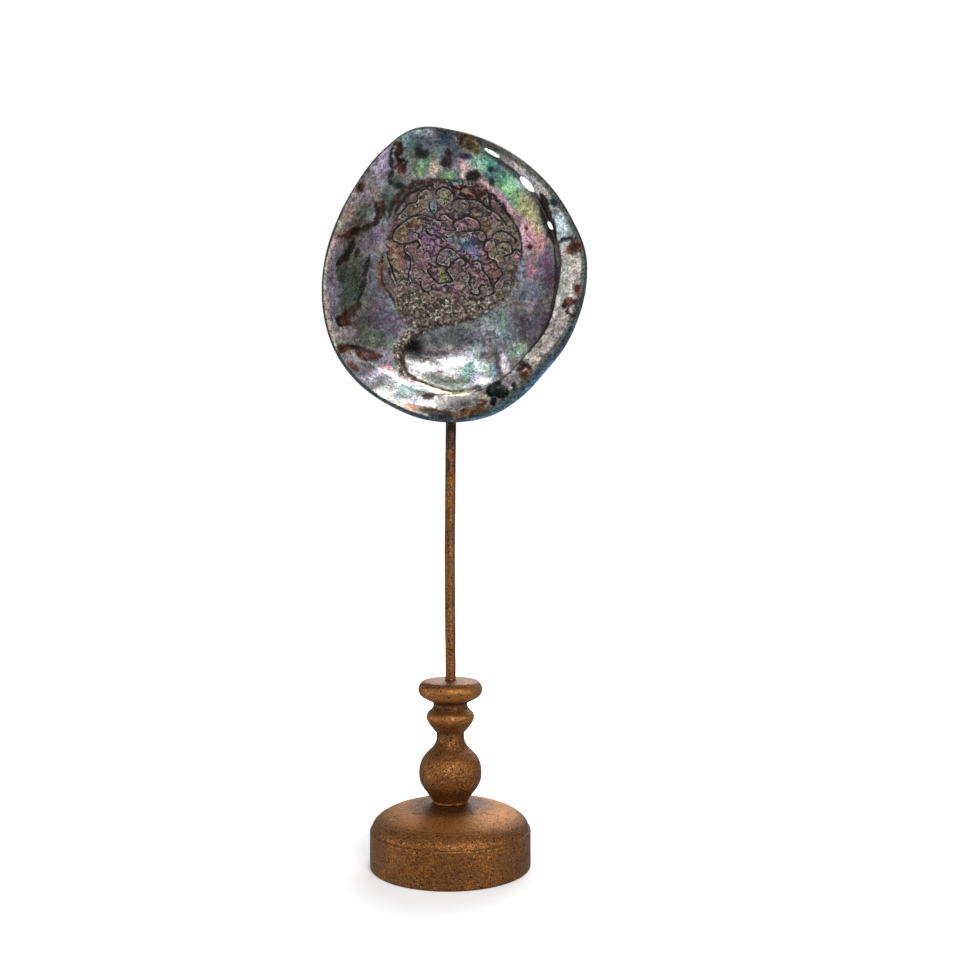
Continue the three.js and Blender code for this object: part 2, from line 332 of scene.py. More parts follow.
scales, tries = [], 0
while len(scales) < SCALE_COUNT and tries < MOST_TRIES:
    tries += 1
    out, angle = math.sqrt(rng.random()) * 0.98, rng.random() * 2 * math.pi
    x = SCAR_OUTLINE["x"] + SCAR_OUTLINE["rx"] * out * math.cos(angle)
    z = SCAR_OUTLINE["z"] + SCAR_OUTLINE["rz"] * out * math.sin(angle)
    wanted = any(spot(x, z, *zone) < 1.2 for zone in SCALY)
    if wanted and all(math.hypot(x - p[2][0][0], z - p[2][0][1]) > SCALE_SPACING for p in scales):
        scales.append(grow_scale(x, z))
scales.sort(key=lambda scale: scale[0])
print(len(scales), "scales")


def scale_map(u, v):
    """Distance inside the topmost scale's outline, and that scale's tone from 0 to 1."""
    edge, tone = np.full(u.shape, FAR), np.full(u.shape, 0.5)
    here = near_scar(u, v)
    x, z = u[here], v[here]
    bent_x = x + 0.7 * clouds(x, z, 2.4, 31, 3)
    bent_z = z + 0.7 * clouds(x, z, 2.4, 32, 3)
    for _, scale_tone, discs in scales:
        inside = np.full(x.shape, -1.0)
        for disc_x, disc_z, radius in discs:
            inside = np.maximum(inside, radius - np.hypot(bent_x - disc_x, bent_z - disc_z))
        edge[here] = np.where(inside > 0, inside, edge[here])
        tone[here] = np.where(inside > 0, scale_tone, tone[here])
    return edge, tone


# %% Where the scar, its gritty foot and the spire's step lie
SPIRE_STEP = smooth_path(
    [
        (17, -8), (9, -11.8), (-1, -13.8), (-10, -15.4), (-17, -17.8), (-22, -21.2), (-25.6, -25.6),
        (-27.6, -30), (-27.2, -34), (-25.6, -38.6), (-22, -42), (-16, -44.6), (-8.5, -47.4), (-3, -49),
    ],
    4,
)
STEP_DEPTH = [0.2, 0.4, 0.6, 0.9, 1.4, 2.2, 2.6, 2.6, 2.2, 1.6, 1.0, 0.6, 0.3, 0.0]


def along_step(values, share):
    """Values spaced evenly along the step, blended in between."""
    return np.interp(share, np.linspace(0, 1, len(values)), values)


def scar_mask(u, v, step):
    """1 on the scar, whose foot is cut off by the spire's step."""
    outline = np.minimum(spot(u, v, **SCAR_OUTLINE), 0.3 + 0.7 * spot(u, v, **SCAR_LOBE))
    outline = outline + 0.035 * clouds(u, v, 8, 33, 3)
    foot = ease(0.6, -0.8, step + 0.8 * clouds(u, v, 3, 34, 2)) * ease(-19, -16, v)
    return ease(1.03, 0.96, outline) * foot


def grit_mask(u, v):
    """The coarse gritty band along the foot of the scar, thinning upwards at both ends."""
    band = ease(8.0, 2.0, v + 6.5 - 0.0035 * u * u + 7 * clouds(u, v, 5, 41, 3))
    left_end = 0.6 * ease(4.5, 1.5, np.abs(u + 28 + 2 * clouds(u, v, 5, 42))) * ease(14, 4, v)
    right_end = 0.35 * ease(6, 2, np.abs(u - 27 + 2 * clouds(u, v, 5, 43))) * ease(20, 4, v)
    return np.clip(band + left_end + right_end, 0, 1)


# %% Folds, grooves, pits and bumps of the hollow
LEFT_FOLDS = [
    # points, how deep, half width
    ([(-36, 43), (-38.5, 38), (-38.8, 34), (-40, 31), (-43, 29.5), (-49, 27.5), (-54, 22.5)], 0.25, 1.8),
    ([(-50, 23), (-51, 19), (-53.5, 14), (-57, 10)], 0.45, 1.3),
    ([(-43.5, 17), (-44.5, 10), (-45, 4), (-46.5, 0), (-47.5, -5), (-50, -9), (-53, -13),
      (-55, -18)], 0.3, 1.6),
    ([(-37.2, 16), (-37.8, 9), (-36.6, 4), (-34.5, 0), (-32, -3.5), (-30.8, -7)], 0.4, 0.8),
    ([(-34, 37), (-30, 44), (-25, 49), (-18, 52), (-10, 53), (-4, 53)], 0.35, 0.9),
    ([(-5, 52.6), (5, 51.4), (10, 50), (16, 46.5), (21, 41), (25, 35.5), (28.5, 30), (29.8, 25),
      (30.3, 18)], 0.3, 0.6),
    ([(-30.5, 64), (-31.5, 60), (-31, 56), (-32.5, 52), (-31, 49.5)], 0.2, 1.6),
]
RIM_RIDGE = [(-52, 35), (-56, 26), (-60.4, 13), (-62.2, 2), (-61.2, -8), (-60.2, -17), (-58.5, -24),
             (-57, -30), (-52, -37)]
PITS = [
    # x, z, half width, half height, how deep
    (3.6, 66.5, 2.6, 1.6, 1.4), (6.2, 55.5, 2.2, 1.8, 0.9), (15.4, 56.1, 1.5, 1.3, 0.6),
    (15.9, 52.9, 1.3, 1.2, 0.5), (-17.4, 64.6, 2.0, 1.7, 0.7), (-5.4, 62, 1.6, 5.5, 0.7),
    (34.2, 23.3, 0.9, 1.1, 0.6), (52.6, 16.1, 3.0, 2.0, 0.35), (25.5, -46.8, 2.2, 1.6, 0.7),
]
BUMPS = [
    # x, z, half width, half height, how high
    (30.0, -41.2, 2.6, 2.6, 0.9), (52.8, -12.8, 1.7, 2.0, 0.8), (-59.9, -19.5, 2.2, 1.8, 0.7),
    (3.0, 67.2, 0.7, 0.6, 0.9), (16.5, -48.5, 3.4, 3.0, 1.1), (20.5, -50.5, 3.6, 2.8, 1.0),
    (14.5, -53.5, 2.0, 2.4, 0.8), (10.4, -55.4, 1.3, 1.1, 0.5),
]
left_folds = [(smooth_path(points, 3), depth, width) for points, depth, width in LEFT_FOLDS]
rim_ridge = smooth_path(RIM_RIDGE, 3)


def hollow_relief(u, v):
    """How much deeper than the smooth dish the hollow lies at a place, in mm."""
    step, share = from_path(SPIRE_STEP, u, v)
    scar = scar_mask(u, v, step)
    edge, tone = scale_map(u, v)
    side, near = crack_map(u, v)
    scaly = scaly_mask(u, v)
    relief = -scar * (0.12 + scaly * (0.3 * np.exp(-np.maximum(edge, 0) / 0.8) + 0.25 * tone))
    relief = relief + scar * 0.35 * bell(near, 0.45)
    relief = relief - scar * 0.30 * bell(side + 0.9, 0.6) * ease(1.6, 1.0, near)
    relief = relief - 0.7 * scar * grit_mask(u, v) * (0.4 + clouds(u, v, 1.5, 44, 2))

    ragged = step + 0.5 * clouds(u, v, 1.8, 47, 2)
    fall = along_step(STEP_DEPTH, share)
    relief = relief + fall * ease(-0.2, 0.9, ragged) * bell(np.maximum(step, 0), 8.5)
    rubble = bell(ragged + 1.2, 1.2) * (0.4 + clouds(u, v, 1.3, 48, 2))
    relief = relief - 0.3 * fall * rubble

    for points, depth, width in left_folds:
        side, share = from_path(points, u, v)
        ends = fade_ends(share, 0.08)
        across = side + 0.8 * clouds(u, v, 6, 51, 2)
        relief = relief + depth * ends * bell(across, width)
        relief = relief - 0.12 * depth * ends * bell(across - 2.6 * width, 1.9 * width)
    ridge, share = from_path(rim_ridge, u, v)
    ridge = ridge + 0.9 * clouds(u, v, 5, 53, 2)
    relief = relief - 0.8 * fade_ends(share, 0.1) * bell(ridge, 1.0)

    for x, z, rx, rz, depth in PITS:
        relief = relief + depth * np.exp(-(spot(u, v, x, z, rx, rz) ** 2) * 1.4)
    for x, z, rx, rz, height in BUMPS:
        relief = relief - height * ease(1.15, 0.6, spot(u, v, x, z, rx, rz) + 0.15 * clouds(u, v, 2, 55))
    wide = 0.55 * clouds(u, v, 17, 61, 2) + 0.14 * clouds(u, v, 5, 62, 2)
    return relief + wide * (1 - 0.6 * scar)


print("relief functions ready")

# %% [markdown]
# ## The outside of the shell
# Nobody sees the back in the usual view, but it is polished too. A real abalone coils out from a small
# spire near one edge. Its growth lines are copies of the rim that shrink towards that spire, and the pores
# it has closed show as a row of bumps that winds from the spire to the open ones.

# %% Growth lines, spiral seam and pore bumps
SPIRE_TIP = (-17.0, -28.0)
OPEN_PORES = [
    dict(x=15.9, z=63.6, long=4.1, wide=0.8, lean=-30),
    dict(x=32.3, z=49.0, long=4.7, wide=1.4, lean=-47),
    dict(x=43.3, z=29.6, long=2.2, wide=0.7, lean=-64),
]
PORE_BUMPS = [
    # x, z, radius
    (48.5, 13, 4.4), (48.5, -3, 4.1), (43.5, -17.5, 3.8), (35, -29.5, 3.5), (24.5, -37.5, 3.2),
    (13.5, -42, 2.9), (2.5, -43, 2.6), (-7, -41, 2.3), (-14, -37.5, 2.0),
]


def growth_share(u, v):
    """0 at the spire's tip and 1 at the rim, along the growth of the shell."""
    x, z = SPIRE_TIP
    du, dv = u - x, v - z
    near = np.hypot(du, dv) + 1e-6
    reach = np.full(u.shape, 40.0)
    for _ in range(7):  # walk out along each direction until the outline is met
        ex, ez = x + du / near * reach, z + dv / near * reach
        outline = around(SILHOUETTE, np.arctan2(ez, ex) / (2 * math.pi))
        reach = reach * outline / np.maximum(np.hypot(ex, ez), 1e-6)
    return near / reach


def outside_relief(u, v):
    """How much further out than the smooth back the surface lies, in mm."""
    grown = growth_share(u, v)
    wobble = 0.012 * clouds(u, v, 12, 71, 2)
    relief = 0.16 * np.sin((grown + wobble) * 95) * ease(0.1, 0.35, grown)
    relief = relief + 0.35 * np.sin((grown + wobble * 2) * 27) * ease(0.1, 0.3, grown)
    x, z = SPIRE_TIP
    away, angle = np.hypot(u - x, v - z), np.arctan2(v - z, u - x) / (2 * math.pi)
    coil = (np.log(away + 1.0) / math.log(3.4) - angle) % 1.0
    seam = bell(np.minimum(coil, 1 - coil), 0.10)
    relief = relief - 1.0 * seam * ease(30, 14, away) * ease(0.5, 3, away)
    for x, z, radius in PORE_BUMPS:
        d = spot(u, v, x, z, radius, radius)
        relief = relief + 0.38 * radius * np.exp(-(d**2) * 1.5) - 0.5 * bell(d, 0.3)
    for pore in OPEN_PORES:
        d = spot(u, v, pore["x"], pore["z"], pore["long"] + 1.5, pore["wide"] + 2.2, pore["lean"])
        relief = relief + 0.7 * np.exp(-((d - 0.8) ** 2) / 0.18)
    return relief + 0.4 * clouds(u, v, 14, 75, 2)


print(len(PORE_BUMPS), "closed pores")

# %% [markdown]
# ## Pressing a sphere into a shell
# The shell is one closed skin: bowl, step, shelf, rim, and back over the outside. A globe has the same
# skin, so the start is a UV sphere with one pole facing the camera. Every ring of the globe becomes one
# station of the section, and is moved to its place by the functions above. The rings then follow the
# shelf's inner edge and the rim exactly, so both stay crisp.

# %% Stations of the section
SLICES = 396
BOWL_RINGS, WALL_RINGS, SHELF_RINGS, RIM_RINGS, OUTER_RINGS = 112, 9, 30, 6, 76
RINGS = BOWL_RINGS + WALL_RINGS + SHELF_RINGS + RIM_RINGS + OUTER_RINGS
FIRST_SHARE = 0.045


def section_place(turn, ring):
    """Radius and depth of each point of the skin, and 1 for the hollow, 0.5 for the rim, 0 for the back."""
    rim, crease, edge_depth, drop = shelf_lines(turn)
    under = UNDERCUT * np.minimum(1, drop / 7)
    soft = 1 - np.minimum(1, drop / 4)
    foot = edge_depth + drop
    start = crease + 0.5 + 2.0 * soft
    inner_rings = BOWL_RINGS + WALL_RINGS + SHELF_RINGS

    # the bowl, from its middle outwards
    t = np.clip(ring / BOWL_RINGS, 0, 1)
    radius = (crease + under) * t
    depth = foot + (BOWL_DEPTH - foot) * (1 - t**BOWL_POWER)

    # the short wall under the shelf's sharp edge
    q = np.clip((ring - BOWL_RINGS) / WALL_RINGS, 0, 1)
    on_wall = ring > BOWL_RINGS
    wall_radius = (crease + under) * (1 - q) + start * q - under * np.sin(q * math.pi)
    wall_depth = foot + (edge_depth * (rim - start) / (rim - crease) - foot) * q
    radius = np.where(on_wall, wall_radius, radius)
    depth = np.where(on_wall, wall_depth, depth)

    # the shelf, slightly crowned, up to the rim
    s = np.clip((ring - BOWL_RINGS - WALL_RINGS) / SHELF_RINGS, 0, 1)
    on_shelf = ring > BOWL_RINGS + WALL_RINGS
    radius = np.where(on_shelf, start + (rim - start) * s, radius)
    crown = 0.5 * np.minimum(1, drop / 4) * np.sin(s * math.pi)
    shelf_depth = edge_depth * (rim - start) / (rim - crease) * (1 - s) - crown
    depth = np.where(on_shelf, shelf_depth, depth)
    rounding = 0.9 * soft * bell(radius - crease, 5.0)
    depth = np.where(ring <= inner_rings, depth + rounding, depth)

    # the rounded rim
    reach = around(SILHOUETTE, turn)
    e = np.clip((ring - inner_rings) / RIM_RINGS, 0, 1) * math.pi / 2
    first = FIRST_SHARE * math.pi / 2
    edge_radius, edge_back = reach * math.cos(first), OUTER_DEPTH * math.sin(first)
    on_rim = ring > inner_rings
    radius = np.where(on_rim, rim + (edge_radius - rim) * np.sin(e), radius)
    depth = np.where(on_rim, edge_back * (1 - np.cos(e)), depth)

    # the outside, a quarter of an ellipse
    o = np.clip((ring - inner_rings - RIM_RINGS) / OUTER_RINGS, 0, 1)
    a = (FIRST_SHARE + (1 - FIRST_SHARE) * o) * math.pi / 2
    outside = ring > inner_rings + RIM_RINGS
    radius = np.where(outside, reach * np.cos(a), radius)
    depth = np.where(outside, OUTER_DEPTH * np.sin(a), depth)
    return radius, depth, np.where(outside, 0, np.where(on_rim, 0.5, 1))


def dish_features(u, v):
    return POCKET_DEPTH * swelling(u, v, **POCKET) - SCAR_RISE * swelling(u, v, **SCAR)


# %% Press the sphere
def coords_of(mesh):
    flat = np.empty(len(mesh.vertices) * 3)
    mesh.vertices.foreach_get("co", flat)
    return flat.reshape(-1, 3)


def set_coords(mesh, points):
    mesh.vertices.foreach_set("co", np.ascontiguousarray(points, float).ravel())
    mesh.update()


def object_from(bm, name):
    """Finishes a bmesh as an object whose place is in its mesh."""
    mesh = bpy.data.meshes.new(name)
    bm.to_mesh(mesh)
    bm.free()
    thing = bpy.data.objects.new(name, mesh)
    bpy.context.scene.collection.objects.link(thing)
    return thing


def shade_smooth(thing):
    thing.data.polygons.foreach_set("use_smooth", [True] * len(thing.data.polygons))


bm = bmesh.new()
bmesh.ops.create_uvsphere(bm, u_segments=SLICES, v_segments=RINGS, radius=1.0)
shell = object_from(bm, "polished_shell")

globe = coords_of(shell.data)
turn = np.arctan2(globe[:, 1], globe[:, 0]) / (2 * math.pi)
ring = np.arccos(np.clip(globe[:, 2], -1, 1)) / math.pi * RINGS
radius, depth, hollow = section_place(turn, ring)
u, v = radius * np.cos(2 * math.pi * turn), radius * np.sin(2 * math.pi * turn)

rim, crease, _, drop = shelf_lines(turn)
near_rim = ease(0.0, 3.0, rim - radius)
inside = (dish_features(u, v) + hollow_relief(u, v)) * near_rim
outside = KNOB_DEPTH * swelling(u, v, **KNOB) + outside_relief(u, v) * ease(1.0, 5.0, depth)
depth = depth + np.where(hollow == 1, inside, np.where(hollow == 0, outside, 0))
set_coords(shell.data, np.stack([POLE_X + u, RIM_Y + depth, POLE_Z + v], axis=1) * MM)
skin = shell.data.attributes.new("skin", "FLOAT", "POINT")
skin.data.foreach_set("value", 1.0 + hollow)
print("shell skin:", len(shell.data.polygons), "faces")

# %% [markdown]
# ## Open pores
# Three pores are still open, as slots right through the wall along the shelf's inner edge. A cylinder
# scaled to an ellipse is the drill, and the Boolean modifier cuts with it. The result is applied at once,
# because the colours of the next step need the final points.

# %% Cut the pores
PORE_RISE = 12
PORE_DEPTH = 10
DRILL_LENGTH = 60


def pore_drill(x, z, long, wide, lean):
    bm = bmesh.new()
    bmesh.ops.create_cone(
        bm, cap_ends=True, segments=40, radius1=1, radius2=1, depth=DRILL_LENGTH * MM
    )
    place = Matrix.Translation(Vector((POLE_X + x, RIM_Y + PORE_DEPTH, POLE_Z + z)) * MM)
    turned = Matrix.Rotation(math.radians(PORE_RISE), 4, "X") @ Matrix.Rotation(math.radians(-lean), 4, "Y")
    upright = Matrix.Rotation(math.radians(90), 4, "X")
    size = Matrix.Diagonal((long * MM, wide * MM, 1, 1))
    bmesh.ops.transform(bm, matrix=place @ turned @ upright @ size, verts=bm.verts)
    return object_from(bm, "drill")


for pore in OPEN_PORES:
    drill = pore_drill(**pore)
    cut = shell.modifiers.new("pore", "BOOLEAN")
    cut.operation = "DIFFERENCE"
    cut.solver = "EXACT"
    cut.object = drill
    bpy.context.view_layer.update()
    done = bpy.data.meshes.new_from_object(shell.evaluated_get(bpy.context.evaluated_depsgraph_get()))
    shell.modifiers.clear()
    shell.data = done
    bpy.data.objects.remove(drill)
shell.data.name = "polished_shell"
shade_smooth(shell)
print("after drilling:", len(shell.data.vertices), "points")

# %% [markdown]
# ## Colours of nacre
# Nacre is clear layers over layers, and its colour is light that they split, so it changes from patch to
# patch with the thickness of the layers: teal, green, pink, lavender and silver. Rust-brown stains of the
# old outer skin are left in the folds. The patches are listed one by one, as a painter would block them in,
# and the noise frays their edges. The result is stored on the mesh as a colour attribute, which a
# material can read without any picture file.
# The near-white patches in the bottom of the bowl and at its lower left are painted highlight, the white
# reflection of the overhead light.

# %% Painting helpers
def linear(red, green, blue):
    """A colour typed as seen on screen, 0 to 255, as the light values that Blender mixes."""
    c = np.array([red, green, blue]) / 255
    return np.where(c <= 0.04045, c / 12.92, ((c + 0.055) / 1.055) ** 2.4)


def glaze(paint, mask, colour, strength=1.0):
    """Lays a colour over the paint where mask is 1."""
    cover = np.clip(mask * strength, 0, 1)[:, None]
    return paint * (1 - cover) + colour * cover


def soft_patch(u, v, x, z, rx, rz, lean):
    frayed = spot(u, v, x, z, rx, rz, lean) + 0.35 * clouds(u, v, 6, 81, 3)
    return np.exp(-np.maximum(frayed, 0) ** 3 * 0.9)


def lay_patches(paint, u, v, patches):
    for x, z, rx, rz, lean, colour, strength in patches:
        paint = glaze(paint, soft_patch(u, v, x, z, rx, rz, lean), linear(*colour), strength)
    return paint


def stain(paint, u, v, x, z, rx, rz, lean, colour):
    """A stain with a frayed warm edge and a dark, crusted core."""
    frayed = spot(u, v, x, z, rx, rz, lean) + 0.75 * clouds(u, v, 3.2, 83, 4)
    paint = glaze(paint, ease(1.42, 0.92, frayed), linear(*colour) * 0.8, 0.97)
    return glaze(paint, ease(1.0, 0.5, frayed), linear(*colour) * 0.2, 0.82)


def stroke(paint, u, v, width, colour, strength, points):
    """A painted line with frayed edges and thin ends. A dark one has darker, crusted parts."""
    crusted = ease(190, 150, max(colour))
    side, share = from_path(smooth_path(points, 3), u, v)
    taper = 0.4 + 0.6 * fade_ends(share, 0.25)
    frayed = np.abs(side) / (width * taper) + 0.7 * clouds(u, v, 2.0, 84, 3)
    cover = ease(1.48, 0.75, frayed)
    paint = glaze(paint, cover, linear(*colour) * (1 - 0.2 * crusted), 0.5 + 0.5 * strength)
    crust = cover * ease(-0.35, 0.25, clouds(u, v, 1.9, 88, 3))
    return glaze(paint, crust, linear(*colour) * 0.16, 0.85 * crusted)


# %% Where each point of the shell lies
points = coords_of(shell.data) / MM
u, v, depth = points[:, 0] - POLE_X, points[:, 2] - POLE_Z, points[:, 1] - RIM_Y
turn = np.arctan2(v, u) / (2 * math.pi)
away = np.hypot(u, v)
rim, crease, _, drop = shelf_lines(turn)
skin = np.empty(len(points))
shell.data.attributes["skin"].data.foreach_get("value", skin)
middle = OUTER_DEPTH * np.sqrt(np.clip(1 - (away / around(SILHOUETTE, turn)) ** 2, 0, 1)) - 2.5
in_hollow = np.where(skin < 1, depth < middle, skin > 1.25) & (away < rim + 0.5 * EDGE_WIDTH)
step, step_share = from_path(SPIRE_STEP, u, v)
scale_edge, scale_tone = scale_map(u, v)
crack_side, crack_near = crack_map(u, v)
print("hollow:", int(in_hollow.sum()), "outside:", int((~in_hollow).sum()), "new:", int((skin < 1).sum()))

# %% Patches of the hollow, with painted highlight in the lower bowl
NACRE_AND_HIGHLIGHT_PATCHES = [
    # x, z, half width, half height, lean, screen colour, strength
    (-49, 3, 6, 15, 4, (60, 64, 48), 0.95),
    (-53, 6, 3, 6, 0, (82, 96, 86), 0.8),
    (-52, -5, 3, 6, 0, (68, 84, 76), 0.8),
    (-46, 37, 3.5, 6, -30, (96, 118, 96), 0.85),
    (-50, 18, 5, 7, -20, (96, 86, 80), 0.7),
    (-57, 17, 2.4, 5, 0, (164, 154, 172), 0.8),
    (-58.5, -3, 2, 14, 0, (140, 132, 152), 0.8),
    (-42, 25, 4, 5, -30, (112, 98, 104), 0.8),
    (-50, 30, 6, 3, 35, (104, 92, 70), 0.75),
    (-37, 29, 3, 5, -20, (148, 128, 156), 0.8),
    (-42, 12, 3, 9, 5, (122, 114, 126), 0.85),
    (-40, 0, 5, 11, 0, (108, 106, 116), 0.85),
    (-36, -15, 8, 9, 0, (100, 96, 110), 0.9),
    (-47, -17, 5, 6, 20, (78, 74, 62), 0.9),
    (-43, -24, 7, 4, 0, (100, 112, 88), 0.85),
    (-55, -22, 3, 5, 0, (168, 158, 164), 0.85),
    (-49, -33, 5, 3, 0, (168, 152, 166), 0.8),
    (-37, -34, 6, 5, 0, (140, 132, 146), 0.8),
    (-53, 33, 3, 9, -30, (190, 172, 152), 0.9),
    (-41, 45, 5, 5, 0, (150, 138, 108), 0.8),
    (-47, 45, 3, 7, -32, (190, 170, 176), 0.8),
    (-36, 56, 3.8, 11, -30, (208, 198, 222), 0.95),
    (-34, 42, 4, 5, 0, (56, 92, 74), 0.85),
    (-29, 50, 5, 5, 0, (86, 116, 100), 0.85),
    (-27, 44, 4, 6, -40, (84, 90, 78), 0.8),
    (-19, 72, 9, 3.4, 15, (176, 214, 206), 0.95),
    (-22, 67, 5, 3.4, 0, (110, 166, 158), 0.9),
    (-15, 66, 7, 4, 0, (112, 134, 136), 0.85),
    (-6, 70, 5, 4, 0, (46, 90, 112), 0.9),
    (0, 70, 3, 3, 0, (176, 190, 178), 0.8),
    (-1, 64, 5, 5, 0, (104, 122, 136), 0.8),
    (-16, 60, 7, 4, 0, (100, 150, 118), 0.85),
    (-18, 56.5, 5, 2.6, 0, (126, 176, 112), 0.8),
    (-11, 57.5, 2.6, 4.4, 10, (222, 178, 156), 0.9),
    (-4, 54.6, 4.4, 2.2, 0, (116, 186, 122), 0.85),
    (1.6, 57, 2.4, 4.6, 0, (228, 184, 186), 0.9),
    (4, 53, 6, 2.0, 0, (214, 168, 170), 0.8),
    (9, 60, 4.4, 3.4, 0, (142, 196, 160), 0.9),
    (15, 58, 4, 6, 0, (66, 166, 152), 0.9),
    (18, 62, 4, 2, -30, (60, 138, 136), 0.8),
    (22, 52, 4, 4, -40, (74, 178, 142), 0.9),
    (25, 48, 3.6, 4.4, -40, (150, 228, 164), 0.95),
    (28.5, 43, 3.2, 3.4, -40, (112, 190, 120), 0.9),
    (24, 56.5, 5, 2, -30, (170, 172, 186), 0.8),
    (29.5, 49, 2.4, 4, 30, (176, 180, 200), 0.8),
    (33, 38, 4, 6.4, 20, (196, 198, 122), 0.95),
    (37, 30, 3.4, 6, 15, (190, 182, 126), 0.85),
    (12, 50.5, 5, 2.6, -25, (226, 172, 180), 0.9),
    (19, 44.5, 5, 2.4, -48, (222, 168, 190), 0.95),
    (26, 37, 5.4, 2.6, -58, (220, 168, 172), 0.95),
    (32, 26, 4, 7, 12, (226, 170, 184), 0.95),
    (38.5, 22, 4.4, 5, 0, (216, 152, 142), 0.9),
    (41.5, 14, 3, 6, 0, (130, 92, 134), 0.9),
    (35, 11, 2.6, 5, 0, (188, 142, 154), 0.85),
    (30.6, 11, 1.4, 8, 0, (146, 156, 186), 0.85),
    (43.5, 4, 3.4, 9, 0, (104, 80, 100), 0.85),
    (35, 0, 7, 4.4, 0, (108, 118, 138), 0.85),
    (30, -14, 8, 6, 0, (96, 88, 104), 0.85),
    (40, -14, 4, 9, 15, (88, 74, 86), 0.85),
    (34, -23, 6, 6, 30, (98, 86, 96), 0.85),
    (20, -16, 7, 8, 0, (120, 148, 152), 0.9),
    (27, -28, 5, 3.6, 20, (156, 178, 160), 0.7),
    (-5, -21, 15, 5, 0, (100, 102, 108), 0.95),
    (8, -21, 5, 4, 0, (112, 122, 132), 0.8),
    (-14, -28.5, 8, 2.4, 0, (90, 86, 96), 0.9),
    (6, -27, 6, 2.6, 0, (150, 158, 166), 0.8),
    # Painted highlight: the two white patches below are the overhead light's reflection in the bottom of the
    # bowl.
    (-15, -35.6, 9, 2.4, 0, (252, 252, 250), 0.95),
    (-2, -35.4, 6, 5, 0, (250, 252, 250), 0.95),
    (-13, -42, 11, 2.0, -8, (128, 136, 122), 0.9),
    (-2, -44, 7, 2.2, 0, (140, 148, 136), 0.85),
    (3, -29, 6, 3, 10, (196, 204, 206), 0.75),
    (4.6, -38, 2.2, 4.4, 0, (122, 178, 168), 0.8),
    (11, -36.4, 3.8, 3.4, 0, (206, 232, 230), 0.85),
    (16.6, -37.4, 1.6, 3.2, 0, (128, 200, 234), 0.9),
    (12, -42.4, 4, 2.2, 20, (244, 228, 250), 0.9),
    (9, -41.6, 1.6, 2, 0, (176, 160, 206), 0.8),
    (19.4, -37, 2.2, 3.8, 0, (92, 78, 98), 0.9),
    # Painted highlight: the two white patches below are the overhead light's reflection, at the right and
    # lower left.
    (22.2, -35.6, 1.8, 5, 15, (255, 252, 255), 0.9),
    (-29, -47, 9, 3.6, 30, (232, 238, 236), 0.9),
    (-24, -47.5, 4, 2.4, 0, (170, 224, 206), 0.8),
    (-37, -42, 4.5, 3.0, 20, (214, 206, 226), 0.85),
    (-43, -42, 4, 2.0, 40, (176, 178, 190), 0.8),
    (-33.6, -38.6, 2.8, 2.4, 0, (236, 164, 178), 0.85),
    (-25, -43, 5, 1.8, -20, (240, 204, 208), 0.8),
    (-14, -55, 6, 2, -20, (176, 186, 224), 0.9),
    (2, -52.4, 14, 4, 4, (112, 103, 106), 0.9),
    (-20, -57.2, 5, 1.3, -14, (178, 112, 58), 0.9),
    (-26, -55.4, 2.4, 1.0, 0, (134, 142, 84), 0.8),
    (4, -58, 8, 1.6, 6, (132, 104, 60), 0.85),
    (-8, -57, 6, 1.4, -4, (74, 84, 76), 0.7),
    (-30, -52, 8, 1.6, 28, (150, 148, 142), 0.8),
    (-40, -47, 5, 1.6, 42, (120, 112, 108), 0.8),
    (-44, -39, 4, 2.0, 30, (124, 112, 116), 0.8),
    (-13, -59.6, 5, 1.0, -6, (60, 98, 98), 0.8),
]

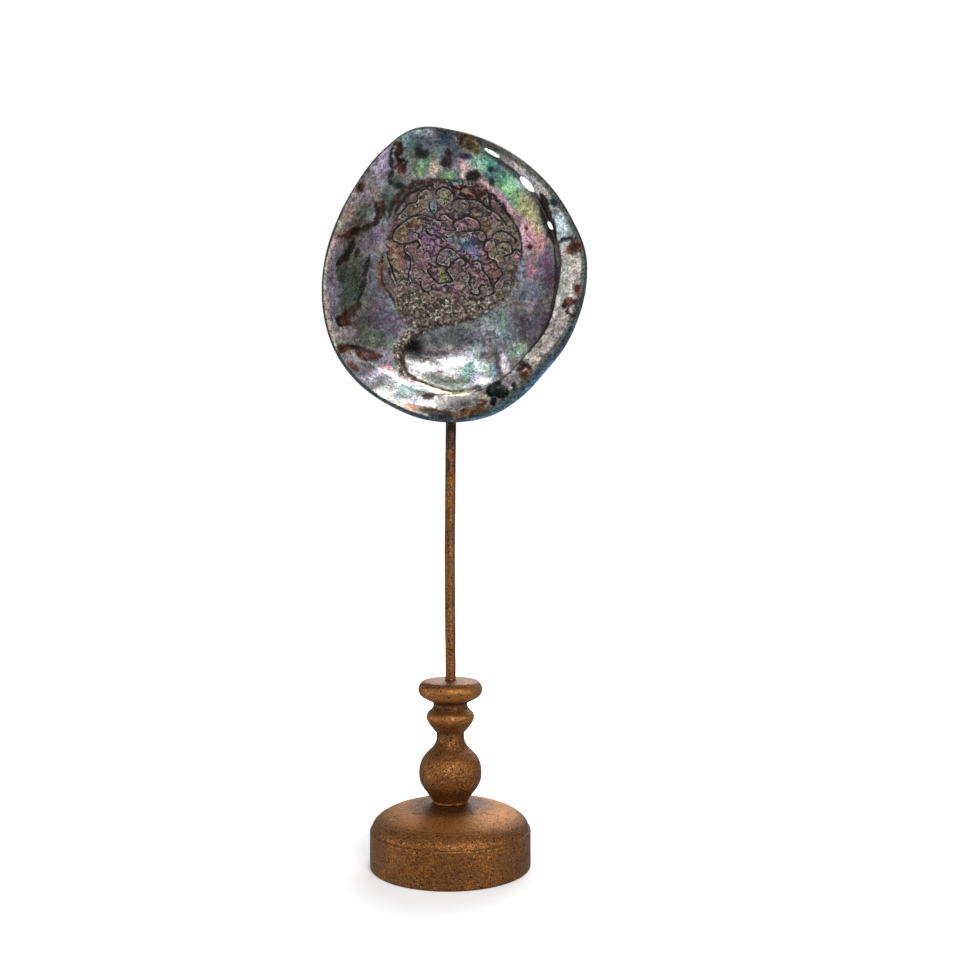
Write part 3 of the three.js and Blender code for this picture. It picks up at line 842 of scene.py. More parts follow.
# %% Brush strokes along folds, cracks and the rim
STROKES = [
    # half width, screen colour, strength, points
    (1.9, (128, 64, 16), 0.9, [(-36, 42), (-37, 39), (-37.4, 35)]),
    (0.8, (34, 22, 14), 0.9, [(-39.5, 42), (-38.7, 38), (-38.9, 34.4), (-40.4, 31.4)]),
    (1.3, (100, 62, 20), 0.9, [(-38, 33), (-41, 31), (-46, 28.5), (-49.5, 26.5), (-52, 24), (-56, 23)]),
    (0.7, (30, 20, 12), 0.85, [(-40, 31.6), (-45, 29.4), (-49, 27.8), (-51, 24.4)]),
    (1.2, (66, 44, 28), 0.75, [(-49.5, 23), (-51, 19.4), (-53.6, 14.4), (-57, 10.4)]),
    (0.9, (64, 48, 38), 0.6, [(-47.5, 19.6), (-48.4, 17), (-49.4, 15)]),
    (1.0, (56, 46, 38), 0.6, [(-42.6, 17), (-44.4, 10), (-45, 4), (-46.6, 0), (-47.8, -5)]),
    (1.7, (92, 48, 30), 0.85, [(-47, -6), (-49.6, -9), (-52, -11.4), (-54, -14)]),
    (2.6, (122, 66, 16), 0.9, [(-52.6, -13.6), (-54, -15.4), (-54.6, -17)]),
    (0.7, (34, 20, 14), 0.8, [(-55.8, -13.6), (-56.6, -15.6), (-55.4, -18), (-53, -17.4)]),
    (2.2, (136, 78, 26), 0.9, [(-55.6, -31.4), (-54, -29), (-50.6, -28.4)]),
    (1.2, (78, 36, 18), 0.9, [(-52, -27.2), (-48, -27.8), (-44, -29.4), (-39, -30.4)]),
    (2.0, (124, 72, 42), 0.85, [(-48, -30.4), (-44, -31.6), (-40, -32), (-37, -31.4)]),
    (1.0, (150, 70, 50), 0.7, [(-51.6, -36), (-49, -37.6), (-47, -39.4)]),
    (0.8, (192, 178, 164), 0.8, [(-60.4, 13), (-62.2, 2), (-61.2, -8), (-60.2, -17), (-60, -20),
                                 (-58, -24), (-56.6, -30)]),
    (1.2, (172, 98, 36), 0.9, [(-37.2, 16), (-37.8, 9), (-36.6, 4), (-35.4, 1.2)]),
    (0.7, (44, 24, 16), 0.9, [(-36.4, 17), (-37, 9), (-35.8, 3.4), (-33.6, -0.4), (-31.6, -4), (-30.6, -7)]),
    (1.8, (168, 150, 130), 0.75, [(-35.2, 15), (-34.8, 9), (-33.4, 4), (-31, 0)]),
    (1.1, (38, 24, 26), 0.85, [(-33.4, 13), (-33.2, 9), (-32.4, 6.6)]),
    (1.3, (110, 72, 50), 0.7, [(-33.6, 35), (-31, 42), (-26, 47.4), (-20, 51), (-12, 52.6), (-5, 53)]),
    (0.7, (60, 30, 22), 0.85, [(-31, 36), (-28.6, 41), (-24, 46), (-18, 49.4), (-12, 51)]),
    (1.1, (112, 54, 30), 0.85, [(-4, 50.4), (3, 49), (9, 46.8), (14, 45.8)]),
    (0.7, (72, 34, 26), 0.85, [(-3, 47.8), (3, 46.2), (9, 45), (13, 44.2)]),
    (0.8, (116, 164, 160), 0.85, [(-5, 51.6), (0, 52.0), (4, 51.8)]),
    (0.6, (52, 30, 28), 0.9, [(5, 51), (10, 49.8), (16, 46), (21, 40.6), (25, 35), (28.4, 29.6), (30, 24),
                              (30.4, 17)]),
    (1.7, (58, 34, 26), 0.9, [(38.6, 42.4), (41, 36), (43.2, 29.4), (45.2, 22)]),
    (0.6, (66, 42, 36), 0.8, [(45.2, 22), (46.4, 12), (46.2, 2), (44.6, -8), (42, -17), (38, -24),
                              (33, -31)]),
    (1.7, (84, 46, 34), 0.9, [(-5.2, 66), (-5.2, 62), (-4.2, 58)]),
    (1.7, (44, 44, 66), 0.9, [(-7, 61.6), (-6.6, 58.6)]),
    (0.7, (66, 42, 30), 0.85, [(-9.6, 73.4), (-5, 73.6), (-1, 71.6)]),
    (1.3, (104, 60, 26), 0.9, [(-29.4, 65.6), (-27.4, 65.8), (-28.4, 62.4)]),
    (2.2, (140, 54, 22), 0.9, [(-28.4, 60), (-26.6, 57.4), (-26, 55.6)]),
    (0.7, (48, 28, 20), 0.85, [(-29.6, 64), (-28.6, 60.8), (-24.6, 60.4), (-26, 57)]),
    (0.9, (84, 66, 66), 0.8, [(-30.6, 64), (-31.6, 60), (-31, 56), (-32.6, 52), (-31, 49.6)]),
    (0.8, (56, 44, 44), 0.85, [(46.8, 20), (50, 21.8), (55, 21.8)]),
    (1.3, (150, 76, 20), 0.9, [(49, -8.6), (52, -7.4), (56, -7.8)]),
    (0.6, (80, 54, 44), 0.8, [(49.6, -11.6), (51.6, -13.6), (54, -15.4)]),
    (0.5, (70, 52, 44), 0.75, [(51.4, -9.8), (50.8, -12), (52.6, -13.8), (54.8, -13), (55.2, -10.6)]),
    (1.5, (104, 62, 46), 0.85, [(-16.4, -51), (-13.6, -51.4), (-11, -50.4)]),
    (1.2, (232, 222, 176), 0.85, [(-20, -43.4), (-12, -47.2), (-4, -49.6), (4, -49.2), (9, -47.4)]),
    (1.5, (150, 116, 56), 0.85, [(-22, -56.4), (-14, -58.4), (-6, -59.8), (2, -60), (9, -58.8), (15, -56.4)]),
    (1.0, (150, 84, 38), 0.85, [(-24, -55.4), (-19, -56.6), (-14.6, -57.6)]),
    (1.0, (138, 84, 36), 0.85, [(1, -58.4), (6, -57.8), (11, -56)]),
    (0.8, (40, 74, 66), 0.8, [(-14, -60), (-9, -60.8), (-3, -61.2)]),
    (0.5, (140, 112, 66), 0.45, [(-18, -43.8), (-11, -46.6), (-4, -48.4), (4, -48), (10, -46.6)]),
    (1.2, (60, 40, 22), 0.85, [(8.4, -47.4), (10.6, -48.6), (12, -50.2)]),
]

# %% Stains, the dark blot and the first coat
STAINS = [
    # x, z, half width, half height, lean, screen colour
    (-28, 50, 3.4, 1.5, 0, (58, 62, 64)), (-46, 46, 2.0, 3.4, -30, (140, 114, 82)),
    (3.0, 68.2, 2.6, 2.0, -20, (116, 66, 20)), (6.2, 65.6, 3.2, 2.4, -30, (168, 156, 78)),
    (4, 62.6, 3.4, 1.3, 0, (84, 86, 132)), (6.4, 54, 2.8, 2.1, 0, (60, 54, 46)),
    (15.4, 56.3, 1.5, 1.3, 0, (38, 92, 94)), (15.7, 51.6, 1.4, 1.9, 0, (36, 92, 88)),
    (-17.3, 64.2, 3.2, 2.0, 0, (54, 66, 70)), (34.0, 21.5, 1.2, 1.2, 0, (126, 44, 44)),
    (32.4, 30.2, 0.8, 0.8, 0, (120, 70, 50)), (-12, 39.6, 1.5, 1.2, 0, (170, 200, 224)),
    (53.5, 17.4, 3.4, 2.5, 0, (140, 76, 14)), (55.6, -2, 1.5, 2.0, 0, (146, 78, 34)),
    (49.2, -10, 1.0, 1.0, 0, (60, 42, 32)), (30.6, -38.6, 2.8, 2.3, 0, (74, 40, 24)),
    (31.2, -42, 2.3, 2.3, 0, (156, 112, 68)), (26, -46.8, 1.1, 1.7, 0, (44, 34, 28)),
    (11.4, -55.2, 1.8, 1.7, 0, (128, 74, 44)), (44.6, 38.4, 1.1, 2.0, 30, (40, 96, 100)),
    (9.2, -46.8, 1.6, 1.1, 0, (72, 46, 26)), (-18, -11.2, 1.4, 0.7, 0, (26, 16, 10)),
]
BLOT = [(15.4, -49, 2.6, 3.0), (19.8, -49.4, 3.9, 3.3), (18, -45.6, 2.4, 2.0), (16.4, -54, 1.6, 2.2)]
BLOT_COLOUR = (4, 24, 22)
SILVER = linear(138, 136, 136)

drift_u, drift_v = u + 2.2 * clouds(u, v, 7, 85), v + 2.2 * clouds(u, v, 7, 86)
paint = lay_patches(np.tile(SILVER, (len(u), 1)), drift_u, drift_v, NACRE_AND_HIGHLIGHT_PATCHES)
print(len(NACRE_AND_HIGHLIGHT_PATCHES), "nacre patches,", len(STROKES), "strokes,", len(STAINS), "stains")

# %% The scar's own colours
SCAR_PATCHES = [
    (-4, 22, 20, 12, 0, (126, 102, 120), 0.9),
    (-28, 28, 3.2, 5, 0, (122, 110, 66), 0.85),
    (-23, 33, 6, 2.6, 25, (124, 112, 74), 0.8),
    (-20, 28, 4, 3, 0, (134, 108, 140), 0.8),
    (-14, 26, 5, 4, 0, (120, 96, 130), 0.7),
    (3, 24, 5, 3.0, 0, (104, 140, 164), 0.75),
    (9, 20, 2.4, 3.4, 0, (128, 164, 184), 0.6),
    (7, 21, 3, 3, 0, (140, 120, 160), 0.6),
    (-5, 27, 3, 1.6, 0, (112, 160, 150), 0.6),
    (4, 33, 6, 2.4, 0, (146, 108, 124), 0.8),
    (13, 17, 2.4, 5, 20, (146, 100, 106), 0.75),
    (17, 10, 2.6, 5, 10, (120, 88, 76), 0.75),
    (5, 40, 10, 3.2, -10, (100, 88, 94), 0.95),
    (-7, 46, 4.4, 3.6, 0, (126, 124, 98), 0.85),
    (-12, 42, 2.6, 3, 0, (92, 124, 140), 0.85),
    (-17, 46, 3.4, 2.4, 0, (126, 104, 74), 0.8),
    (-7.6, 38, 2.2, 1.8, 0, (168, 136, 126), 0.75),
    (13, 32, 3, 3.4, 0, (122, 106, 66), 0.8),
    (-22, 41, 7, 4.4, 35, (118, 106, 86), 0.85),
    (6, 47.4, 9, 2.0, -8, (176, 112, 104), 0.85),
    (-7.6, 8.6, 2.8, 3.6, 0, (132, 124, 90), 0.8),
    (-2, 9, 3.4, 3, 0, (116, 100, 96), 0.7),
    (-5, 18.4, 4.4, 2.4, 0, (120, 124, 128), 0.7),
    (22, 24, 6, 8, 0, (112, 102, 82), 0.85),
    (18.6, 20, 3, 2.4, 0, (100, 122, 88), 0.7),
    (28, 18, 1.8, 1.4, 0, (206, 136, 176), 0.8),
    (24, 12, 4, 4, 0, (92, 88, 80), 0.7),
    (25, 2, 4.4, 6, -20, (82, 80, 74), 0.85),
    (-30, 15, 2.8, 12, 0, (132, 102, 72), 0.85),
    (-27.6, 18, 0.9, 7, 0, (150, 84, 76), 0.6),
    (-25, 12, 1.8, 7, 0, (136, 108, 138), 0.6),
    (-20, -5, 7, 4.4, 0, (150, 126, 74), 0.8),
    (-28, -9, 4, 3, 0, (120, 110, 98), 0.7),
    (-3, 3, 8, 2.6, 0, (122, 104, 114), 0.7),
    (10, 8, 3.4, 4, 0, (122, 92, 96), 0.7),
]
SCAR_GROUND, SAND = linear(116, 98, 100), linear(116, 102, 88)
scar = scar_mask(u, v, step) * in_hollow
grit = grit_mask(u, v) * scar
scaly = scaly_mask(u, v)
scar_paint = lay_patches(np.tile(SCAR_GROUND, (len(u), 1)), u, v, SCAR_PATCHES)
scar_paint = glaze(scar_paint, grit, SAND, 0.6)
scar_paint = scar_paint * (1 + 0.55 * scaly * (scale_tone - 0.5))[:, None]
paint = glaze(paint, scar, scar_paint, 0.96)

# %% Shelf, rim and step colours, with painted shade along the shelf's inner edge
SHELF_PATCHES = [
    (52, 6, 5, 10, 0, (212, 208, 194), 0.9),
    (52, 12, 5, 4, 0, (206, 206, 184), 0.8),
    (48, 28, 4, 8, 15, (206, 224, 236), 0.9),
    (51, 21.5, 4, 2, 0, (170, 160, 176), 0.6),
    (42, 38, 4, 6, 25, (186, 184, 176), 0.8),
    (50, -15, 6, 5, 0, (190, 178, 174), 0.9),
    (45, -22, 6, 5, 0, (176, 166, 158), 0.9),
    (41, -28, 6, 4, 30, (186, 174, 160), 0.9),
    (36, -34, 5, 3, 30, (196, 188, 172), 0.9),
    (3, -53, 17, 5, 4, (104, 97, 98), 0.95),
    (24, -45, 5, 3, 30, (150, 132, 140), 0.8),
    (12, -50, 3, 4, 0, (168, 160, 128), 0.8),
    (25, 60, 14, 3, -35, (168, 164, 152), 0.9),
]
BONE, PEARL_GREY = linear(214, 210, 200), linear(150, 154, 166)
CREASE_SHADE, RIDGE_CREAM = linear(66, 53, 47), linear(196, 176, 158)
RIM_GREY, RIM_DARK = linear(96, 100, 92), linear(46, 48, 48)
on_shelf = ease(-0.3, 0.6, away - crease) * np.minimum(1, drop / 4)
shelf_tone = 0.5 + 0.5 * clouds(u, v, 9, 91)
shelf_paint = BONE * shelf_tone[:, None] + PEARL_GREY * (1 - shelf_tone)[:, None]
shelf_paint = lay_patches(shelf_paint, u, v, SHELF_PATCHES)
paint = glaze(paint, on_shelf, 0.9 * shelf_paint, 0.88)
# Painted shade: a dark line along the shelf's inner edge, the shadow under its overhang, left out at the
# bottom.
crease_shade_line = bell(away - crease - 0.2, 0.5) * np.minimum(1, drop / 3)
crease_shade_line = crease_shade_line * np.maximum(ease(12, 20, u), ease(-20, 0, v))
paint = glaze(paint, crease_shade_line, CREASE_SHADE, 0.85)

ridge, share = from_path(rim_ridge, u, v)
ridge = ridge + 0.9 * clouds(u, v, 5, 53, 2)
paint = glaze(paint, bell(ridge, 1.0) * ease(0, 0.1, share), RIDGE_CREAM, 0.9)
right_side = ease(-0.2, 0.4, np.cos(2 * math.pi * (turn - 0.03)))
band_width = 1.3 + 1.9 * right_side
band = ease(-0.6, 0.4, away - rim - EDGE_WIDTH + band_width + 0.5 * clouds(u, v, 4, 93))
paint = glaze(paint, band, RIM_GREY, 0.95)
paint = glaze(paint, ease(-0.9, 0.1, away - rim - 0.6), RIM_DARK, 0.95)
for row in STROKES:
    paint = stroke(paint, u, v, *row)
for row in STAINS:
    paint = stain(paint, u, v, *row)

# %% Paint the spire's step: painted shade on its wall and in its corner, and the crust
CRUST_WIDTH = [0, 0, 0.6, 1.6, 3.2, 4.2, 4.0, 3.2, 2.2, 1.2, 0.3, 0, 0]
STEP_SHADE, CORNER_SHADE, CRUST_BROWN = linear(50, 42, 38), linear(18, 13, 9), linear(74, 60, 48)
ragged = step + 0.9 * clouds(u, v, 1.8, 47, 3)
# Painted shade: a dark band on the step's wall, where it drops into the spire's pocket.
step_shade = bell(ragged - 0.1, 0.6) * ease(0.0, 0.2, step_share) * ease(0.78, 0.66, step_share)
paint = glaze(paint, step_shade, STEP_SHADE, 0.92)
# Painted shade: the pocket's corner under the step is painted near black.
corner_shade = np.exp(-(spot(u, v, -22.2, -26.6, 5.2, 7.0, 20) ** 4)) * ease(-0.5, 0.8, ragged)
paint = glaze(paint, corner_shade, CORNER_SHADE, 0.95)
crust_width = along_step(CRUST_WIDTH, step_share)
frayed = -step + 1.3 * clouds(u, v, 2.2, 49, 3)
crust = ease(crust_width + 0.4, crust_width - 0.4, frayed) * ease(-1.6, -0.6, frayed)
crust = crust * ease(0.2, 1.0, crust_width) * in_hollow
paint = glaze(paint, crust, CRUST_BROWN, 0.9)
grit = np.clip(grit + 0.95 * crust, 0, 1)

# %% Even out and fray the paint
MIDDLE_GREY, CONTRAST = 0.2, 1.3  # the grey that stays as it is, and how far the rest moves from it
GREYING = 0.26  # how much of the nacre's colour is taken back
LIGHTNESS = np.array([0.21, 0.72, 0.07])  # how light the eye finds red, green and blue
SCAR_COLOUR = 1.12  # how much stronger than painted the scar's colours are
hue = [clouds(u, v, 7, 101 + k) for k in range(3)]
fine = [clouds(u, v, 2.4, 111 + k) for k in range(3)]
for k in range(3):
    paint[:, k] *= 1 + (0.20 * hue[k] + 0.12 * fine[k]) * (1 - 0.6 * on_shelf)
blotches = clouds(u, v, 4.5, 117, 4)
paint *= (1 + 0.45 * blotches)[:, None]
striae = clouds(1.6 * turn * 360, away * 0.35, 1.6, 118, 3)
paint *= (1 + 0.35 * striae * on_shelf * ease(10, -10, v))[:, None]
brushed = clouds(u * 1.4 + 0.3 * v, v * 0.25, 1.2, 119, 3) * np.exp(-(spot(u, v, 22, -20, 16, 16) ** 4))
paint *= (1 + 0.5 * brushed)[:, None]
# Painted shade: the paint is darkened in a soft band beside the scar's cracks.
shade_beside_crack = scar * bell(crack_near, 1.1)
paint *= (1 - 0.4 * shade_beside_crack)[:, None]
paint = MIDDLE_GREY * (np.clip(paint, 1e-4, 1) / MIDDLE_GREY) ** CONTRAST
light = paint @ LIGHTNESS
strong_colour = (1 - GREYING) * (1 - scar) + SCAR_COLOUR * scar
paint = np.maximum(light[:, None] + (paint - light[:, None]) * strong_colour[:, None], 0)
blot = np.maximum.reduce([ease(1.15, 0.9, spot(u, v, *lobe) + 0.12 * clouds(u, v, 2, 87)) for lobe in BLOT])
paint = glaze(paint, blot, linear(*BLOT_COLOUR), 0.95)
print("hollow painted")

# %% Colours of the outside
grown = growth_share(u, v) + 0.02 * clouds(u, v, 10, 121)
bands = 0.5 + 0.5 * np.sin(grown * 60 + 2.5 * clouds(u, v, 14, 122))
angle = np.arctan2(v - SPIRE_TIP[1], u - SPIRE_TIP[0])


def grown_clouds(size, seed):
    """Patches drawn out along the growth lines. Each of two noises hides the other's seam."""
    first = clouds((angle % (2 * math.pi)) * 15, grown * 80, size, seed)
    second = clouds((angle + math.pi) % (2 * math.pi) * 15, grown * 80, size, seed + 40)
    share = 0.5 + 0.5 * np.cos(angle)
    return first * (1 - share) + second * share


back = np.tile(linear(96, 172, 196), (len(u), 1))
back = glaze(back, 0.5 + 0.5 * grown_clouds(15, 123), linear(86, 78, 140), 0.7)
BACK_WASHES = [
    # where it starts to show, size, seed, screen colour, strength
    (0.1, 9, 124, (58, 150, 116), 0.85),
    (0.2, 8, 125, (150, 104, 146), 0.7),
    (0.25, 6, 126, (190, 196, 200), 0.6),
]
for shows, size, seed, colour, strength in BACK_WASHES:
    back = glaze(back, ease(shows, 0.6, grown_clouds(size, seed)), linear(*colour), strength)
back = glaze(back, bands * ease(-0.3, 0.4, clouds(u, v, 8, 127)), linear(34, 52, 66), 0.6)
vein = np.abs(clouds(u, v, 12, 128)) + 0.12 * clouds(u, v, 3, 129)
back = glaze(back, ease(0.045, 0.0, vein), linear(28, 30, 32), 0.75)
for x, z, radius in PORE_BUMPS:
    from_bump = spot(u, v, x, z, radius, radius)
    back = glaze(back, np.exp(-(from_bump**2) * 2), linear(196, 206, 204), 0.55)
    back = glaze(back, ease(0.34, 0.2, from_bump), linear(36, 34, 32), 0.8)
back_hue = [1 + 0.22 * clouds(u, v, 5, 131 + k) for k in range(3)]
back = back * np.stack(back_hue, axis=1)
not_low_right = np.maximum(ease(8, -6, u), ease(-28, -14, v))
dark_strip = np.maximum(ease(0.9, 0.2, depth), ease(7, 4, depth) * not_low_right)
back = glaze(back, dark_strip, linear(52, 56, 58), 0.8)
paint = np.where(in_hollow[:, None], paint, back)

# %% Store what the material reads
def store(mesh, name, values):
    """Keeps one number, or one colour, for each point of a mesh."""
    if values.ndim == 1:
        layer = mesh.attributes.new(name, "FLOAT", "POINT")
        layer.data.foreach_set("value", np.ascontiguousarray(values, float))
    else:
        layer = mesh.attributes.new(name, "FLOAT_COLOR", "POINT")
        rgba = np.concatenate([np.clip(values, 0, 1), np.ones((len(values), 1))], axis=1)
        layer.data.foreach_set("color", rgba.ravel())


LAYERS = dict(
    # The stored tint holds the nacre's colours together with the painted highlight and painted shade.
    nacre_and_painted_light=paint, scale_edge=scale_edge, scaly=scaly * scar, crack_side=crack_side, crack_near=crack_near,
    # The dull layer holds the real dark blot and the painted corner shade, and makes both more metallic.
    scar=scar, dull_blot_and_corner_shade=np.maximum(blot, 0.75 * corner_shade) * in_hollow, grit=grit, outside=1.0 - in_hollow,
    growth=growth_share(u, v),
)
for name, values in LAYERS.items():
    store(shell.data, name, values)
print("attributes stored on", len(shell.data.vertices), "points")

# %% [markdown]
# ## Turned wood
# The base and the spindle were turned on a lathe, so they are made as a lathe makes them: a profile is
# spun about the upright axis. The spindle's profile is a smooth path through listed points, so it
# keeps the maker's uneven curves, and the base's dome is a stretched arc. After the spin, small random
# moves give the slight out-of-round, dents and paint lumps of a hand-finished piece.

# %% A lathe
def lathe(name, profile, steps):
    """Spins a profile of (radius, height), both ends on the axis, into a closed solid."""
    bm = bmesh.new()
    chain = [bm.verts.new((r * MM, 0, z * MM)) for r, z in profile]
    edges = [bm.edges.new(pair) for pair in zip(chain, chain[1:])]
    bmesh.ops.spin(
        bm, geom=chain + edges, cent=(0, 0, 0), axis=(0, 0, 1), angle=2 * math.pi,
        steps=steps, use_merge=True, dvec=(0, 0, 0),
    )
    bmesh.ops.remove_doubles(bm, verts=bm.verts, dist=1e-7)
    bmesh.ops.recalc_face_normals(bm, faces=bm.faces)
    bm.normal_update()
    return object_from(bm, name)


def finer(profile, longest):
    """Adds points along straight stretches until none is longer than longest."""
    fine_profile = [profile[0]]
    for a, b in zip(profile, profile[1:]):
        count = max(1, math.ceil(math.dist(a, b) / longest))
        fine_profile += [
            (a[0] + (b[0] - a[0]) * k / count, a[1] + (b[1] - a[1]) * k / count) for k in range(1, count + 1)
        ]
    return fine_profile


def arc(centre, radius, start, end, count):
    """Points on a circle, angles in degrees."""
    return [
        (
            centre[0] + radius * math.cos(math.radians(start + (end - start) * k / count)),
            centre[1] + radius * math.sin(math.radians(start + (end - start) * k / count)),
        )
        for k in range(count + 1)
    ]


# %% Roughen a turned surface
def worn(thing, dents, lump, seed):
    """Moves each point in or out a little: slow waviness, fine paint lumps and a few dents."""
    points = coords_of(thing.data) / MM
    away = np.hypot(points[:, 0], points[:, 1])
    angle = np.arctan2(points[:, 1], points[:, 0])
    around_mm = angle * 30
    height = points[:, 2]
    seam = 0.5 + 0.5 * np.cos(angle)  # both noises fade into each other, so no seam shows
    first = clouds(around_mm, height + away * 0.5, 2.2, seed)
    second = clouds(points[:, 0] * 1.3 + 50, points[:, 1] * 1.3 + height, 2.2, seed + 1)
    move = lump * (first * (1 - seam) + second * seam)
    move = move + 2.2 * lump * clouds(points[:, 0] + height * 0.7, points[:, 1] - height * 0.4, 14, seed + 2)
    for x, y, z, size, deep in dents:
        d = np.linalg.norm(points - np.array([x, y, z]), axis=1) / size
        move = move - deep * ease(1.1, 0.3, d)
    normals = np.empty(len(points) * 3)
    thing.data.vertex_normals.foreach_get("vector", normals)
    open_air = ease(0.05, 1.2, height - height.min())
    set_coords(thing.data, (points + normals.reshape(-1, 3) * (move * open_air)[:, None]) * MM)
    shade_smooth(thing)
    return thing


# %% The domed base
base_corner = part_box("base")[1]
BASE_RADIUS, BASE_TOP = base_corner.x / MM, base_corner.z / MM
WALL_TOP, STEP, SEAT, FOOT = 18.3, 0.7, 9.2, 1.0
TENON, BORE_DEPTH, GAP = 4.9, 15.0, 0.3
DOME_POINTS = 46


def base_profile():
    reach, rise = BASE_RADIUS - STEP - 0.25, BASE_TOP - WALL_TOP
    end = math.acos(SEAT / reach)
    turns = [end * k / DOME_POINTS for k in range(DOME_POINTS + 1)]
    dome = [(reach * math.cos(t), WALL_TOP + rise * math.sin(t) / math.sin(end)) for t in turns]
    wall = [
        (BASE_RADIUS - 0.12, FOOT + 0.3), (BASE_RADIUS - 0.08, 9.0), (BASE_RADIUS - 0.12, WALL_TOP - 0.9),
        (BASE_RADIUS - 0.3, WALL_TOP - 0.35), (BASE_RADIUS - 0.75, WALL_TOP - 0.15),
    ]
    foot = arc((BASE_RADIUS - FOOT - 0.12, FOOT), FOOT, -90, 0, 5)
    floor_of_bore = BASE_TOP - BORE_DEPTH - GAP
    bore = [(TENON + GAP, BASE_TOP), (TENON + GAP, floor_of_bore), (0, floor_of_bore)]
    return finer([(0, 0), *foot, *wall, *dome, *bore], 0.6)


BASE_STEPS, SPINDLE_STEPS = 190, 132  # flats round each turned piece, small enough not to be seen
BASE_DENTS = [
    # x, y, z, size, how deep
    (-26.5, -13, 26.6, 1.9, 0.35), (-17, -14, 28.6, 1.5, 0.4), (-14.5, -15.5, 28.6, 1.1, 0.35),
    (17, -14, 28.6, 1.7, 0.35), (20.5, -14, 28, 1.1, 0.35), (30, -22, 20, 0.9, 0.3),
    (19, -33, 0.8, 0.9, 0.3), (17, -34, 0.6, 0.7, 0.25), (-37, -6, 12, 1.0, 0.2),
]
base = worn(lathe("domed_base", base_profile(), BASE_STEPS), BASE_DENTS, 0.035, 211)
print("base:", len(base.data.polygons), "faces")

# %% The spindle
SPINDLE_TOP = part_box("spindle")[1].z / MM
SPINDLE_OUTLINE = [
    (8.4, 30.5), (8.5, 31.6), (9.2, 32.4), (10.9, 35.0), (12.9, 37.6), (14.4, 40.6), (14.9, 44.2),
    (14.5, 48.0), (13.2, 51.4), (10.9, 54.2), (8.6, 56.4), (7.1, 58.8), (6.6, 60.6), (6.6, 63.6),
    (7.3, 64.2), (9.2, 66.6), (10.9, 69.2), (11.3, 71.2), (10.6, 73.0), (8.8, 74.8), (8.0, 76.4),
    (8.6, 78.0), (11.0, 79.2), (14.0, 81.0), (15.2, 83.4), (15.0, 85.4), (13.6, 87.4), (11.8, 88.1),
    (8.0, 88.2), (4.0, 88.2),
]
SOCKET = 2.8
SOCKET_DEPTH = 14.0


def spindle_profile():
    foot = BASE_TOP + GAP - BORE_DEPTH
    tenon = [(0, foot), (TENON, foot), (TENON, BASE_TOP + GAP)]
    floor_of_socket = SPINDLE_TOP - SOCKET_DEPTH
    socket = [(SOCKET, SPINDLE_TOP), (SOCKET, floor_of_socket), (0, floor_of_socket)]
    outside = [(r, min(z, SPINDLE_TOP)) for r, z in smooth_path(SPINDLE_OUTLINE, 5)]
    return finer([*tenon, *outside, *socket], 0.7)


SPINDLE_DENTS = [
    (-8.5, -6.5, 68.5, 1.2, 0.35), (6, -9.2, 70, 1.0, 0.3), (-3, -14.5, 44, 1.2, 0.2), (9, -11, 47, 1.0, 0.2),
    (-10.5, -10.5, 84, 1.3, 0.25), (5.5, -14, 83, 1.0, 0.2), (13.6, -3, 37.8, 1.4, 0.4),
]
spindle = worn(lathe("turned_spindle", spindle_profile(), SPINDLE_STEPS), SPINDLE_DENTS, 0.04, 221)
print("spindle:", len(spindle.data.polygons), "faces")

# %% Mark the coves and ridges, which the paint makes darker and lighter
STATION_STEP, WINDOW, SMOOTHING = 0.5, 12, 3.52


def mark_coves(thing, lift):
    """Stores more on ridges and less in coves, from how far each stands out from its neighbours."""
    points = coords_of(thing.data) / MM
    away, height = np.hypot(points[:, 0], points[:, 1]), points[:, 2]
    stations = np.arange(height.min(), height.max() + STATION_STEP, STATION_STEP)
    widest = np.array([away[np.abs(height - station) < 0.6].max(initial=0) for station in stations])
    kernel = bell(np.arange(-WINDOW, WINDOW + 1) * STATION_STEP, SMOOTHING)
    smooth = np.convolve(np.pad(widest, WINDOW, "edge"), kernel / kernel.sum(), "valid")
    proud = np.interp(height, stations, widest - smooth)
    store(thing.data, "proud", np.clip(0.5 + lift + proud * 0.32, 0, 1))
    return len(points)


print("marked", mark_coves(base, -0.04) + mark_coves(spindle, 0.09), "points")

# %% [markdown]
# ## Rod and epoxy
# The rod is plain stock about 5 mm thick, a little bowed. It starts as a cylinder that is cut into short
# lengths, so that its points can follow the bow. Its top is cut along the slope of the shell's back. The
# pad of epoxy is a sphere squeezed into a thick lens against that slope, then made lumpy.

# %% The bowed rod
ROD_RADIUS = 2.5
ROD_FOOT = SPINDLE_TOP - SOCKET_DEPTH + GAP
ROD_TOP = 224.0
ROD_BOW = [(74.5, 0.0), (95, 0.1), (122, -0.15), (150, -0.3), (190, 0.05), (230, 0.5)]
CUT_HEIGHT, CUT_SLOPE = 217.2, 46


